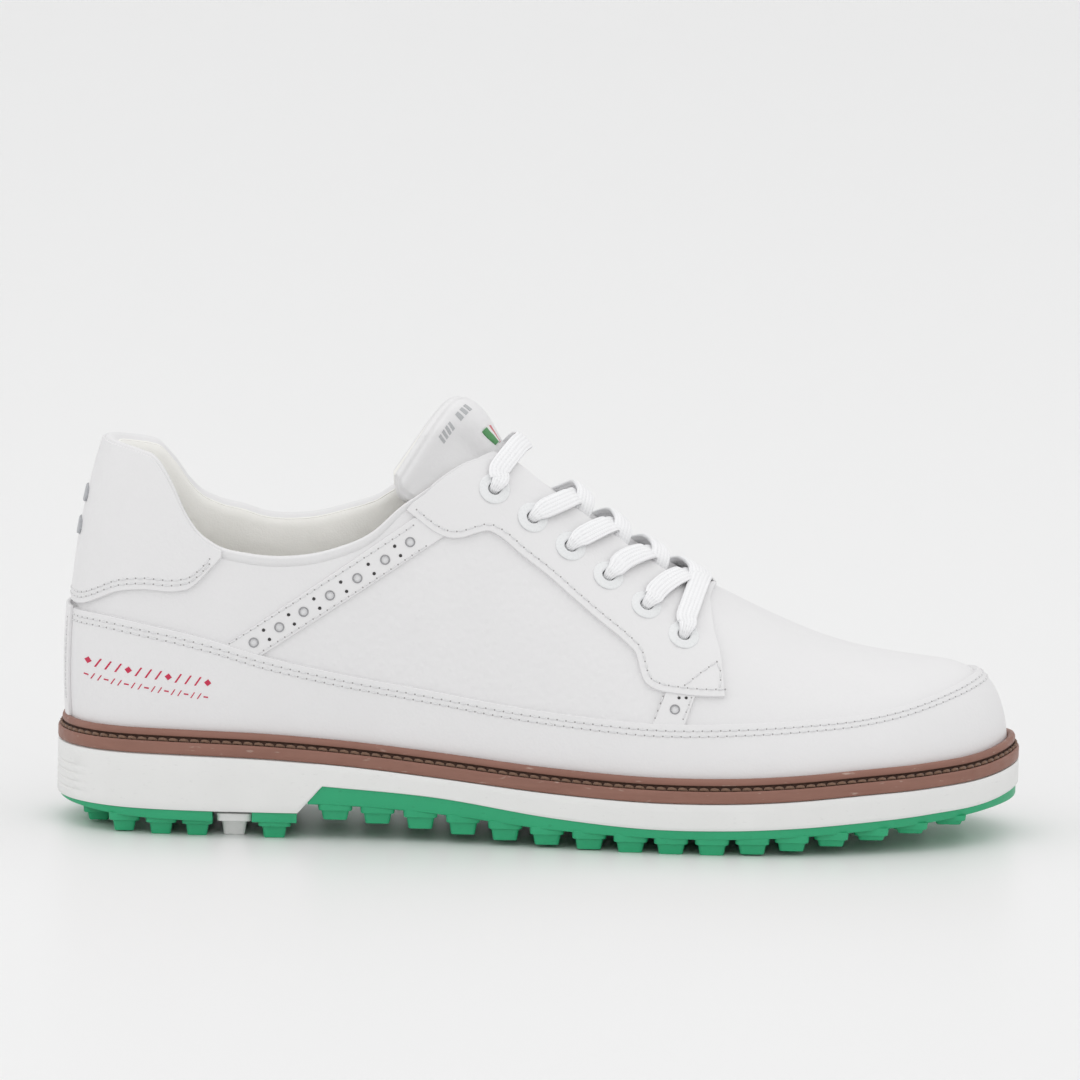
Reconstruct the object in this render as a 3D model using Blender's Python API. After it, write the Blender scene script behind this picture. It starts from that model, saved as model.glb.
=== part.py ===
"""A right-foot golf shoe, men's EU 42, with a welted upper on a white midsole and a green lugged outsole.

Run with: blender --background --python part.py
The shoe stands on z = 0 with its toe towards +X and its outer (lateral) side towards -Y. The origin is on the
ground, below the middle of the sole. Shapes are worked out in millimetres and scaled to metres as meshes are made.

The upper follows one surface, wall(angle, rise): angle goes round the shoe, 0 at the heel, negative along the
lateral side, positive along the medial side and +-pi at the toe; rise is 0 at the sole and 1 on the instep's ridge.
Every panel is a patch of that surface with its own inner and outer offset.
"""

import math

import bmesh
import bpy
import numpy as np
from mathutils import Matrix, Vector, geometry

MM = 0.001

# Driving dimensions, in millimetres.
HALF_LENGTH = 149.0
FEATHER_INSET = 5.5  # from the sole's edge to the outer face of the vamp and quarters
LATERAL, MEDIAL = -1, 1

# Half-widths of the sole's outline, by angle from the heel in steps of 15 degrees.
EDGE_STEP = 15
EDGE_LATERAL = [18.5, 31.5, 36.8, 37.8, 39.5, 45.5, 52.0, 52.3, 43.8, 30.0, 12.5]
EDGE_MEDIAL = [18.0, 31.0, 36.0, 35.5, 34.0, 39.5, 49.5, 53.8, 49.5, 38.0, 24.0]
TOE_TIP_Y = 6.0

# Heights along the length, as (x, z).
MIDSOLE_TOP = [(-149, 25.2), (-113, 25.6), (-93, 25.3), (-62, 23.6), (-31, 20.7), (6, 17.4), (37, 16.2),
               (58, 16.4), (79, 17.4), (100, 18.8), (121, 19.8), (143, 21.8), (149, 23.2)]
MIDSOLE_BOTTOM = [(-66.5, 16.9), (-31, 14.4), (6, 9.7), (37, 7.8), (58, 8.0), (79, 8.9), (100, 10.2),
                  (121, 11.6), (143, 13.9), (149, 15.6)]
FORE_PLATE_BOTTOM = [(-70, 11.1), (-62, 10.9), (-31, 9.2), (6, 5.9), (37, 5.0), (50, 5.0), (79, 6.0),
                     (100, 7.3), (121, 8.8), (149, 11.8)]
HEEL_PLATE_BOTTOM = [(-149, 7.4), (-137, 6.2), (-120, 5.2), (-110, 5.0), (-70, 5.0)]
HEEL_TOP = 8.2  # where the midsole's heel ends and its rubber begins
BREAST_BACK, BREAST_FRONT = -74.0, -66.5
RIDGE = [(-105, 172), (-80, 168), (-60, 158), (-45, 147), (-29, 135.5), (-14, 124), (6, 106), (21, 94.5),
         (32, 86.5), (45, 79), (54, 74.8), (65, 69.5), (75, 65), (87, 60.3), (98, 57.2), (112, 54.9), (122, 53.8)]
RIDGE_Y = [(-105, 0), (-40, 1.0), (20, 3.0), (80, 4.5), (122, 5.5)]
RIDGE_BACK, RIDGE_FRONT = -105.0, 122.0
FAN_BACK, FAN_FRONT = -60.0, 88.0  # beyond these the wall's sections fan out round the heel and toe

LUG_BOTTOM = [(-64, 6.3), (-50, 5.4), (-36, 4.2), (-24, 3.1), (-12, 2.0), (2, 1.1), (15, 0.4), (26, 0.0), (60, 0.0),
              (69, 0.8), (81, 1.8), (94, 3.2), (108, 4.8), (121, 6.3), (129, 7.4), (138, 8.8)]

# The wall's section is a cubic from the sole's edge to the ridge; these shape it along the length.
WALL_START = 0.7  # above the midsole
LOWER_HANDLE = [(-149, 0.30), (-100, 0.36), (-60, 0.42), (-20, 0.55), (60, 0.55), (100, 0.6), (149, 0.68)]
UPPER_HANDLE = [(-149, 0.90), (-100, 0.85), (-60, 0.78), (-20, 0.55), (20, 0.5), (60, 0.5), (100, 0.55), (149, 0.62)]
UPPER_DROP = [(-149, 0.22), (-100, 0.15), (-60, 0.08), (-20, 0.0), (149, 0.0)]
BULGE = [(-149, 5.3), (-100, 3.5), (-60, 2.5), (-20, 1.0), (20, 1.0), (60, 1.5), (100, 1.5), (149, 1.0)]

# Seams of the upper, seen from the side, as (x, z).
TOPLINE_LATERAL = [(-150, 119.5), (-133.6, 119), (-128.2, 118.3), (-124.1, 117.5), (-120, 115.9), (-115, 108.8),
                   (-110.1, 99.1), (-106.8, 94.4), (-101.6, 90.4), (-90.5, 87.4), (-77.5, 86.9), (-64, 89.5),
                   (-52, 95), (-43.7, 102.6), (-36.9, 107.4), (-31.1, 112.1), (-25.9, 115.2), (-21.7, 116.7),
                   (-15.9, 118.5), (-5, 128), (60, 140)]
MEDIAL_RISE = [(-150, -1), (-126.4, -1.5), (-118, -1.0), (-109.4, 3.5), (-95, 6.3), (-86, 5.0), (-73, 4.5),
               (-56, 4.0), (-47, 2.0), (-36, 0), (60, 0)]
RAND_TOP = [(-150, 65.8), (-136.7, 66.9), (-120.2, 65.0), (-103.1, 61.6), (-86.8, 57.0), (-62, 51.7), (-34.1, 47.2),
            (-6.2, 43.0), (18.6, 40.6), (35.2, 39.5), (65, 39.8), (82.1, 40.4), (97.5, 41.2), (112.9, 43.5),
            (124.5, 46.5), (129.6, 48.1), (135, 50.0), (150, 52)]
HEEL_CAP_BOTTOM = [(-150, 68.0), (-140.5, 69.0), (-136.7, 71.1), (-130.8, 74.3), (-124.3, 75.7), (-111.7, 75.9),
                   (-108.3, 76.8), (-104.9, 79.8), (-101.6, 83.6), (-98.5, 86.8), (-95.4, 89.5), (-88, 97), (-60, 140)]
EYESTAY_EDGE = [(-42.3, 101.8), (-38.7, 99.1), (-32.8, 95.0), (-29, 93.6), (-25, 93.6), (-20.7, 94.9), (-16.7, 95.6),
                (-13.7, 94.2), (-6.9, 88.8), (1.7, 82.4), (10.2, 75.4), (18.8, 68.6), (25.6, 63.4), (29.1, 60),
                (30.7, 55.1), (32.2, 51.7), (36.3, 49.3), (41.2, 48.4), (48.9, 47.6), (56.8, 47.4), (55.9, 54.3),
                (54.8, 60.2), (53.2, 64.7), (51.5, 73.1)]
EYESTAY_TOP = [(-17, 116.3), (-21.7, 115.7), (-25.9, 114.2), (-31.1, 111.1), (-36.9, 106.4), (-40.5, 103.9)]
STRIP_HOLES = [(-88.4, 60.7), (-80.6, 65.6), (-73.2, 70.5), (-65.2, 75.7), (-56.9, 81.1), (-48.5, 86.8), (-40.9, 92.2)]
STRIP = [(-94.5, 61.4), (-43.8, 96.8), (-31.8, 93.0), (-84.3, 57.9)]
COUNTER_TOP = [(-150, 84), (-128, 82), (-118, 72), (-108, 58), (-90, 52), (-70, 45), (-50, 38)]
STRIP_HOLE = 1.4
FRONT_STRIP = [(38.4, 47.8), (36.6, 44.0), (35.2, 40.6), (45.0, 40.9), (46.2, 43.5), (47.3, 46.3)]
FRONT_STRIP_HOLE = (41.6, 43.8)
THROAT_HALF_GAP = 8.5
THROAT_X = 52.0
COLLAR_FRONT = -45.0
THROAT_END = 9.0  # length of the throat's rounded front end
VAMP_SEAM_X = 46.0

# Layers of the upper: (inner, outer) offset from the face of the vamp and quarters.
OVERLAY = (0.5, 1.6)
OUTER = (-1.2, 0.0)
STIFFENER = (-2.6, -1.7)
LINING = (-3.9, -3.1)
COLLAR_PAD = 3.2  # extra depth of the foam round the collar
COLLAR_DEPTH = 26.0

# Eyelets, as the side-view places of the highest and the lowest one on each side.
EYELETS = 6
EYELET_HIGH, EYELET_LOW = (-15.6, 107.6), (43.6, 64.4)
EYELET_BORE, EYELET_TUBE, EYELET_FLANGE = 2.0, 2.35, 4.5
EYELET_HOLE = 2.7

# Lace.
LACE_WIDTH, LACE_THICK = 6.4, 1.4
LACE_ABOVE = 3.5  # middle of the lace over the eyestay
LACE_BELOW = -5.8  # middle of the lace under the lining

# Tongue, by station: the x at which a section across it meets the ridge.
TONGUE_LEAN = [(-27, 0.42), (-20, 0.42), (-10, 0.35), (10, 0.1), (25, 0), (66, 0)]  # how far back its sides sweep
TONGUE_UNDER = [(-27, -7.0), (50, -7.0), (58, -5.2), (66, -4.7)]  # its leather's offset under the eyestays
TONGUE_OFFSET = [(-27, -0.8), (-23, -2.0), (-19, -5.0), (-16, -7.0), (50, -7.0), (58, -5.2), (66, -4.7)]
TONGUE_HALF_WIDTH = [(-27, 43), (-24, 48), (-18, 48), (-10, 40), (10, 30), (20, 27), (66, 20)]
TONGUE_FOAM = [(-27, 5.0), (-20, 4.6), (-10, 3.4), (30, 3.0), (52, 2.6), (66, 1.2)]
TONGUE_HINGE = (64.0, 3.0, 64.5)

TAIL = 58.0  # from the eyelet to the tip of a loose end
# The two ways a lane of lace crosses the throat: (distance, offset) from under one eyestay to over the other.
OVER_LANE = [(-13, -5.8), (-9, -5.7), (-7, -4.6), (-5, -2.2), (-3, 0.0), (0, 0.9), (5, 2.4), (9, 3.5), (13, 3.5)]
UNDER_LANE = [(-13, -5.8), (-9, -5.7), (-6, -5.4), (-3, -4.4), (0, -3.1), (3, -1.7), (5, 0.8), (7, 3.1), (9, 3.5),
              (13, 3.5)]

# Footing: layers between the midsole and the foot, as heights above the midsole's top.
FILLER, BOARD, FOOTBED = (1.0, 3.0), (3.4, 5.6), (6.0, 10.2)
FOOTBED_HINGE_X = 136.0

COLOURS = {
    "white_leather": ((0.86, 0.86, 0.87), 0.45),
    "cream_lining": ((0.86, 0.84, 0.78), 0.75),
    "white_rubber": ((0.84, 0.84, 0.83), 0.55),
    "green_rubber": ((0.03, 0.42, 0.20), 0.5),
    "brown_welt": ((0.36, 0.19, 0.14), 0.5),
    "brown_thread": ((0.24, 0.12, 0.08), 0.8),
    "white_lace": ((0.88, 0.88, 0.9), 0.85),
    "white_enamel": ((0.85, 0.86, 0.87), 0.3),
    "steel_grey": ((0.42, 0.44, 0.46), 0.5),
    "foam": ((0.80, 0.78, 0.70), 0.9),
    "stiffener": ((0.72, 0.68, 0.60), 0.8),
    "cork": ((0.55, 0.38, 0.22), 0.9),
    "steel": ((0.60, 0.60, 0.62), 0.35),
    "label": ((0.20, 0.50, 0.30), 0.8),
    "aglet": ((0.80, 0.80, 0.82), 0.25),
}
COLUMN_STEP = math.radians(6)
ROW_STEP = 1 / 12
CHART_RISE = 60.0  # a rise of 1 in the chart of a panel, in which a degree round the shoe is 1


def curve_through(points):
    """A smooth function of x through (x, value) pairs, flat beyond its ends."""
    xs, ys = np.array(points, float).T
    slopes = np.gradient(ys, xs)

    def value(x):
        x = np.clip(np.asarray(x, float), xs[0], xs[-1])
        i = np.clip(np.searchsorted(xs, x) - 1, 0, len(xs) - 2)
        width = xs[i + 1] - xs[i]
        s = (x - xs[i]) / width
        return (
            (1 + 2 * s) * (1 - s) ** 2 * ys[i]
            + s * (1 - s) ** 2 * width * slopes[i]
            + s * s * (3 - 2 * s) * ys[i + 1]
            + s * s * (s - 1) * width * slopes[i + 1]
        )

    return value


def closed_edge_table():
    """The outline's (degrees, y) all the way round, with one step beyond each end so that it closes smoothly."""
    lateral = [(-EDGE_STEP * (i + 1), -w) for i, w in enumerate(EDGE_LATERAL)]
    medial = [(EDGE_STEP * (i + 1), w) for i, w in enumerate(EDGE_MEDIAL)]
    table = lateral[::-1] + [(0, 0.0)] + medial + [(180, TOE_TIP_Y)]
    before = [(-195, EDGE_MEDIAL[-1]), (-180, TOE_TIP_Y)]
    return before + table + [(195, -EDGE_LATERAL[-1])]


edge_y = curve_through(closed_edge_table())
midsole_top = curve_through(MIDSOLE_TOP)
fore_bottom = curve_through(MIDSOLE_BOTTOM)
fore_plate_bottom, lug_bottom = curve_through(FORE_PLATE_BOTTOM), curve_through(LUG_BOTTOM)
heel_plate_bottom = curve_through(HEEL_PLATE_BOTTOM)
ridge_z, ridge_y = curve_through(RIDGE), curve_through(RIDGE_Y)
lower_handle, upper_handle = curve_through(LOWER_HANDLE), curve_through(UPPER_HANDLE)
upper_drop, bulge = curve_through(UPPER_DROP), curve_through(BULGE)
topline_lateral, medial_rise = curve_through(TOPLINE_LATERAL), curve_through(MEDIAL_RISE)
tongue_lean = curve_through(TONGUE_LEAN)
tongue_under = curve_through(TONGUE_UNDER)
tongue_offset = curve_through(TONGUE_OFFSET)
tongue_half_width = curve_through(TONGUE_HALF_WIDTH)
tongue_foam = curve_through(TONGUE_FOAM)
rand_top, heel_cap_bottom = curve_through(RAND_TOP), curve_through(HEEL_CAP_BOTTOM)


def wrapped(angle):
    return (np.asarray(angle, float) + math.pi) % (2 * math.pi) - math.pi


def sole_edge(angle, inset=0.0):
    """Points (x, y) on the sole's outline, moved in by inset."""
    angle = np.asarray(angle, float)

    def on_outline(a):
        return np.stack([-HALF_LENGTH * np.cos(a), edge_y(np.degrees(wrapped(a)))], -1)

    return on_outline(angle) - np.expand_dims(np.asarray(inset, float), -1) * sole_outward(angle)


def sole_outward(angle):
    """The outline's outward direction (x, y)."""
    ahead, behind = angle + 0.03, angle - 0.03
    along_x = -HALF_LENGTH * (np.cos(ahead) - np.cos(behind))
    along_y = edge_y(np.degrees(wrapped(ahead))) - edge_y(np.degrees(wrapped(behind)))
    outward = np.stack([-along_y, along_x], -1)
    return outward / np.linalg.norm(outward, axis=-1, keepdims=True)


def ridge_x(angle):
    """Where the section at this angle meets the ridge: level with the outline, but drawn in at the heel and toe."""
    x = -HALF_LENGTH * np.cos(angle)
    s_front = np.clip((x - FAN_FRONT) / (HALF_LENGTH - FAN_FRONT), 0, 1)
    s_back = np.clip((FAN_BACK - x) / (HALF_LENGTH + FAN_BACK), 0, 1)
    k_front = (HALF_LENGTH - FAN_FRONT) / (RIDGE_FRONT - FAN_FRONT)
    k_back = (HALF_LENGTH + FAN_BACK) / (FAN_BACK - RIDGE_BACK)
    front = FAN_FRONT + (RIDGE_FRONT - FAN_FRONT) * (k_front * s_front + (1 - k_front) * s_front**2)
    back = FAN_BACK - (FAN_BACK - RIDGE_BACK) * (k_back * s_back + (1 - k_back) * s_back**2)
    return np.where(x > FAN_FRONT, front, np.where(x < FAN_BACK, back, x))


def section(angle, rise):
    """Points of the outer face of the vamp and quarters."""
    angle, rise = np.broadcast_arrays(np.asarray(angle, float), np.asarray(rise, float))
    level = -HALF_LENGTH * np.cos(angle)
    foot, outward = sole_edge(angle, FEATHER_INSET), sole_outward(angle)
    foot_z = midsole_top(level) + WALL_START
    x = ridge_x(angle)
    top, top_z = np.stack([x, ridge_y(x)], -1), ridge_z(x)
    height = top_z - foot_z
    low = foot + outward * bulge(level)[..., None]
    high = top + (foot - top) * upper_handle(level)[..., None]
    corners = [
        (foot, foot_z),
        (low, foot_z + lower_handle(level) * height),
        (high, top_z - upper_drop(level) * height),
        (top, top_z),
    ]
    weights = [(1 - rise) ** 3, 3 * rise * (1 - rise) ** 2, 3 * rise**2 * (1 - rise), rise**3]
    flat = sum(w[..., None] * xy for w, (xy, _) in zip(weights, corners))
    z = sum(w * z for w, (_, z) in zip(weights, corners))
    return np.concatenate([flat, z[..., None]], -1)


def wall_normal(angle, rise):
    angle, rise = np.broadcast_arrays(np.asarray(angle, float), np.asarray(rise, float))
    rise = np.clip(rise, 0.002, 0.998)
    along = section(angle + 0.01, rise) - section(angle - 0.01, rise)
    up = section(angle, rise + 0.002) - section(angle, rise - 0.002)
    normal = np.cross(up, along)
    return normal / np.linalg.norm(normal, axis=-1, keepdims=True)


def wall(angle, rise, offset=0.0):
    angle, rise = np.broadcast_arrays(np.asarray(angle, float), np.asarray(rise, float))
    normal = wall_normal(angle, rise)
    both = normal + wall_normal(-angle, rise)
    both /= np.linalg.norm(both, axis=-1, keepdims=True)
    normal = np.where((rise > 0.9994)[..., None], both, normal)
    return section(angle, rise) + np.asarray(offset, float)[..., None] * normal


def rise_where(angle, height_over):
    """The lowest rise at which height_over(points), which starts negative, reaches zero, or 1."""
    angle = np.atleast_1d(angle)
    rises = np.linspace(0, 1, 301)
    value = height_over(section(angle[:, None], rises[None, :]))
    above = value >= 0
    above[:, -1] = True
    i = np.maximum(above.argmax(axis=1), 1)
    rows = np.arange(len(angle))
    v0, v1 = value[rows, i - 1], value[rows, i]
    share = np.clip(-v0 / np.where(v1 - v0 == 0, 1, v1 - v0), 0, 1)
    return rises[i - 1] + share * (rises[i] - rises[i - 1])


def seam_rise(angle, seam):
    """The rise at which the wall crosses a seam given as a height along the length."""
    return rise_where(angle, lambda p: p[..., 2] - seam(p[..., 0]))


def throat_gap(x):
    """Half the gap between the eyestays."""
    end = np.clip((x - THROAT_X + THROAT_END) / THROAT_END, 0, 1)
    return THROAT_HALF_GAP * np.sqrt(1 - end**2)


def throat_rise(angle, gap_more=0.0):
    def inside(p):
        gap = throat_gap(p[..., 0]) + gap_more - np.abs(p[..., 1] - ridge_y(p[..., 0]))
        return np.where(p[..., 0] < COLLAR_FRONT, -1, gap)

    return rise_where(angle, inside)


def top_rise(angle, below=0.0):
    """The rise of the collar's and throat's edge."""
    angle = np.atleast_1d(np.asarray(angle, float))
    medial = np.clip(wrapped(angle) / 0.5, 0, 1)[:, None]
    medial = medial * medial * (3 - 2 * medial)

    def over_collar(p):
        more = medial * medial_rise(p[..., 0])
        return p[..., 2] - topline_lateral(p[..., 0]) - more + below

    return np.minimum(rise_where(angle, over_collar), throat_rise(angle, below))


def locate(x, z, side):
    """The (angle, rise) of the point of one side that is seen from that side at (x, z)."""
    x, z = np.atleast_1d(np.asarray(x, float)), np.atleast_1d(np.asarray(z, float))
    angle = side * np.arccos(np.clip(-x / HALF_LENGTH, -0.99, 0.99))
    rise = np.full_like(x, 0.4)
    for _ in range(60):
        here = section(angle, rise)[..., [0, 2]]
        by_angle = (section(angle + 1e-4, rise)[..., [0, 2]] - here) / 1e-4
        by_rise = (section(angle, rise + 1e-4)[..., [0, 2]] - here) / 1e-4
        jacobian = np.stack([by_angle, by_rise], -1)
        step = np.linalg.solve(jacobian, (np.stack([x, z], -1) - here)[..., None])[..., 0]
        angle = angle + np.clip(step[..., 0], -0.1, 0.1)
        rise = np.clip(rise + np.clip(step[..., 1], -0.1, 0.1), 0.0, 0.999)
    return angle, rise


def material(name, kind):
    colour, roughness = COLOURS[kind]
    made = bpy.data.materials.new(name)
    made.use_nodes = True
    shader = made.node_tree.nodes["Principled BSDF"]
    shader.inputs["Base Color"].default_value = (*colour, 1.0)
    shader.inputs["Roughness"].default_value = roughness
    shader.inputs["Metallic"].default_value = 1.0 if kind == "steel" else 0.0
    return made


def add(name, points, faces, colour, origin=None):
    """A closed mesh of points in millimetres, its origin at a joint's axis where one is given."""
    base = np.zeros(3) if origin is None else np.array(origin, float)
    mesh = bpy.data.meshes.new(name)
    mesh.from_pydata([tuple((p - base) * MM) for p in np.asarray(points, float)], [], faces)
    tidy = bmesh.new()
    tidy.from_mesh(mesh)
    bmesh.ops.remove_doubles(tidy, verts=tidy.verts, dist=0.002 * MM)
    bmesh.ops.dissolve_degenerate(tidy, edges=tidy.edges, dist=0.001 * MM)
    bmesh.ops.recalc_face_normals(tidy, faces=tidy.faces)
    tidy.to_mesh(mesh)
    tidy.free()
    made = bpy.data.objects.new(name, mesh)
    made.location = base * MM
    made.data.materials.append(material(name, colour))
    bpy.context.scene.collection.objects.link(made)
    return made


def loft(name, rings, colour, closed_rows=False, capped=False, origin=None):
    """A surface through rings of equal length; closed_rows joins the last ring to the first."""
    rings = np.asarray(rings, float)
    rows, columns = rings.shape[:2]
    faces = []
    for i in range(rows if closed_rows else rows - 1):
        for j in range(columns):
            a, b = i * columns + j, i * columns + (j + 1) % columns
            up = (i + 1) % rows * columns - i * columns
            faces.append((a, b, b + up, a + up))
    if capped:
        faces.append(tuple(range(columns))[::-1])
        faces.append(tuple((rows - 1) * columns + j for j in range(columns)))
    return add(name, rings.reshape(-1, 3), faces, colour, origin)


def slab(name, upper, lower, colour, origin=None):
    """The solid between two grids of points, both split into the same triangles."""
    upper, lower = np.array(upper), np.array(lower)
    rows, columns = upper.shape[:2]
    n = rows * columns
    faces = []
    for i in range(rows - 1):
        for j in range(columns - 1):
            a = i * columns + j
            b, c, d = a + 1, a + columns + 1, a + columns
            faces += [(a, b, c), (a, c, d), (c + n, b + n, a + n), (d + n, c + n, a + n)]
    rim = [j for j in range(columns)] + [i * columns + columns - 1 for i in range(1, rows)]
    rim += [(rows - 1) * columns + j for j in range(columns - 2, -1, -1)]
    rim += [i * columns for i in range(rows - 2, 0, -1)]
    for a, b in zip(rim, rim[1:] + rim[:1]):
        faces.append((b, a, a + n, b + n))
    return add(name, np.concatenate([upper.reshape(-1, 3), lower.reshape(-1, 3)]), faces, colour, origin)


def joined(made, other):
    """Joins other into made, so that both are one solid."""
    union = made.modifiers.new("join", "BOOLEAN")
    union.operation, union.solver, union.object = "UNION", "EXACT", other
    other.hide_render = True
    other.display_type = "WIRE"
    bpy.context.view_layer.update()
    evaluated = made.evaluated_get(bpy.context.evaluated_depsgraph_get())
    mesh = bpy.data.meshes.new_from_object(evaluated)
    made.modifiers.remove(union)
    made.data = mesh
    bpy.data.objects.remove(other)
    return made


def side_columns(step, extra=()):
    """Angles round the sole, from -pi to under pi, mirror images of each other, with extra ones at given x."""
    degrees = set(np.round(np.arange(0, 181, step), 6))
    for x in extra:
        angle = math.degrees(math.acos(-x / HALF_LENGTH))
        degrees = {d for d in degrees if abs(d - angle) > 0.45 * step} | {angle}
    half = sorted(degrees)
    return np.radians([-d for d in half[::-1] if d > 0] + [d for d in half if 0 <= d < 180])


def spine(angle, ends=28.0):
    """The middle of the sole at each angle, where the two sides of a flat layer meet."""
    x = np.clip(-HALF_LENGTH * np.cos(angle), ends - HALF_LENGTH, HALF_LENGTH - ends)
    level = np.arccos(-x / HALF_LENGTH)
    middle = (sole_edge(level)[..., 1] + sole_edge(-level)[..., 1]) / 2
    return np.stack([x, middle], -1)


def plate(name, colour, inset, bottom, top, side=(), span=(-200, 200), step=6, extra=(), origin=None):
    """A layer of the sole: its outline moved in by inset, between heights bottom(x) and top(x), for x within span.

    side holds (further inset, share of the way up) rows between the two edges.
    """
    angles = side_columns(step, extra)
    x = np.clip(-HALF_LENGTH * np.cos(angles), *span)
    inside = np.arccos(np.clip(-x / HALF_LENGTH, -1, 1))
    angles = np.where(angles < 0, -inside, inside)
    middle = spine(angles)
    middle[:, 0] = np.clip(middle[:, 0], *span)
    rows = [(middle, 0.0)]
    for more, share in [(0.0, 0.0), *side, (0.0, 1.0)]:
        rows.append((sole_edge(angles, inset + more), share))
    rows.append((middle, 1.0))
    rings = []
    for flat, share in rows:
        flat = np.column_stack([np.clip(flat[:, 0], *span), flat[:, 1]])
        low, high = bottom(flat[:, 0]), top(flat[:, 0])
        rings.append(np.column_stack([flat, low + share * (high - low)]))
    return loft(name, rings, colour, origin=origin)


def shifted(curve, by):
    return lambda x: curve(x) + by


def block(corners_low, corners_high):
    """Points and faces of a prism whose ends are corners_low and corners_high."""
    n = len(corners_low)
    points = [*corners_low, *corners_high]
    faces = [tuple(range(n))[::-1], tuple(range(n, 2 * n))]
    faces += [(i, (i + 1) % n, n + (i + 1) % n, n + i) for i in range(n)]
    return points, faces


def lug_shape(x, y, top, bottom, length=9.4, width=9.0):
    """A two-stepped lug: a wide low base under the plate and a narrower tapering block."""
    base = max(top - 1.6, bottom + 1.2)
    outline = [(-1, 0), (-0.55, 1), (0.55, 1), (1, 0), (0.55, -1), (-0.55, -1)]

    def ring(scale, z):
        return [(x + u * scale * length / 2, y + v * scale * width / 2, z) for u, v in outline]

    rings = [ring(0.62, bottom), ring(0.74, base), ring(1.0, base), ring(1.04, top + 0.8)]
    points = [p for r in rings for p in r]
    n = len(outline)
    faces = [tuple(range(n)), tuple(range(3 * n, 4 * n))[::-1]]
    for k in range(3):
        faces += [(k * n + (i + 1) % n, k * n + i, (k + 1) * n + i, (k + 1) * n + (i + 1) % n) for i in range(n)]
    return points, faces


def merged(name, shapes, colour):
    points, faces = [], []
    for more_points, more_faces in shapes:
        faces += [tuple(len(points) + i for i in face) for face in more_faces]
        points += more_points
    return add(name, points, faces, colour)


def lug_places():
    """(x, y) of the forefoot's lugs: a row inside each edge, and rows between them where the sole is wide."""
    places = []
    for i in range(16):
        x = -62.5 + 12.9 * i
        level = math.acos(-min(x, 139.0) / HALF_LENGTH)
        for side in (LATERAL, MEDIAL):
            places.append(tuple(sole_edge(side * level, 6.2)))
        low, high = sole_edge(-level)[1], sole_edge(level)[1]
        inner = [] if high - low < 56 else [(low + high) / 2]
        if high - low > 74:
            inner = [low + 24.0, (low + high) / 2, high - 24.0]
        if i >= 15:
            inner = []
        places += [(x, y) for y in inner]
    return places


def inside_polygon(points, polygon):
    """Which points lie inside a polygon, both in the chart's plane."""
    x, y = points[:, 0, None], points[:, 1, None]
    x0, y0 = polygon[:, 0], polygon[:, 1]
    x1, y1 = np.roll(x0, -1), np.roll(y0, -1)
    crosses = (y0 > y) != (y1 > y)
    at = x0 + (y - y0) * (x1 - x0) / np.where(y1 == y0, 1, y1 - y0)
    return (crosses & (x < at)).sum(axis=1) % 2 == 1


def distance_to(points, polygon):
    start, end = polygon, np.roll(polygon, -1, axis=0)
    along = end - start
    share = ((points[:, None] - start) * along).sum(-1) / np.maximum((along**2).sum(-1), 1e-12)
    near = start + np.clip(share, 0, 1)[..., None] * along
    return np.linalg.norm(points[:, None] - near, axis=-1).min(axis=1)


def densified(polygon, longest):
    points = []
    for start, end in zip(polygon, np.roll(polygon, -1, axis=0)):
        parts = max(1, math.ceil(np.linalg.norm(end - start) / longest))
        points += [start + (end - start) * k / parts for k in range(parts)]
    return np.array(points)


def chart(angle, rise):
    return np.column_stack([np.degrees(angle), np.asarray(rise) * CHART_RISE])


def panel(name, outline, offsets, colour, holes=(), spread=1.0):
    """A patch of the wall inside outline, an array of (angle, rise), between two offsets, with holes through it."""
    outline = densified(chart(*np.transpose(outline)), 5.5 * spread)
    holes = [chart(*np.transpose(hole)) for hole in holes]
    low, high = outline.min(axis=0), outline.max(axis=0)
    step_u, step_v = math.degrees(COLUMN_STEP) * spread, CHART_RISE * ROW_STEP * spread
    u = np.arange(math.floor(low[0] / step_u), math.ceil(high[0] / step_u) + 1) * step_u
    v = np.arange(math.floor(low[1] / step_v), math.ceil(high[1] / step_v) + 1) * step_v
    grid = np.stack(np.meshgrid(u, v), -1).reshape(-1, 2)
    grid = grid[inside_polygon(grid, outline) & (distance_to(grid, outline) > 1.7)]
    for hole in holes:
        grid = grid[~inside_polygon(grid, hole) & (distance_to(grid, hole) > 1.2)]
    points, edges = [], []
    for loop in [outline, *holes]:
        n = len(points)
        points += list(loop)
        edges += [(n + k, n + (k + 1) % len(loop)) for k in range(len(loop))]
    points += list(grid)
    found = geometry.delaunay_2d_cdt([Vector(p) for p in points], edges, [], 0, 1e-5)
    flat = np.array([tuple(p) for p in found[0]])
    faces = np.array([tuple(face) for face in found[2]])
    middle = flat[faces].mean(axis=1)
    keep = inside_polygon(middle, outline)
    for hole in holes:
        keep &= ~inside_polygon(middle, hole)
    corners = flat[faces]
    area = np.cross(corners[:, 1] - corners[:, 0], corners[:, 2] - corners[:, 0])
    faces = faces[keep & (np.abs(area) > 1e-4)]
    # The ridge ends in one point.
    tip = (flat[:, 1] > 0.9994 * CHART_RISE) & (np.abs(flat[:, 0] - 180) < 6.5)
    flat[tip, 0] = 180.0
    return shell(name, np.radians(flat[:, 0]), flat[:, 1] / CHART_RISE, faces, offsets, colour)


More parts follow.
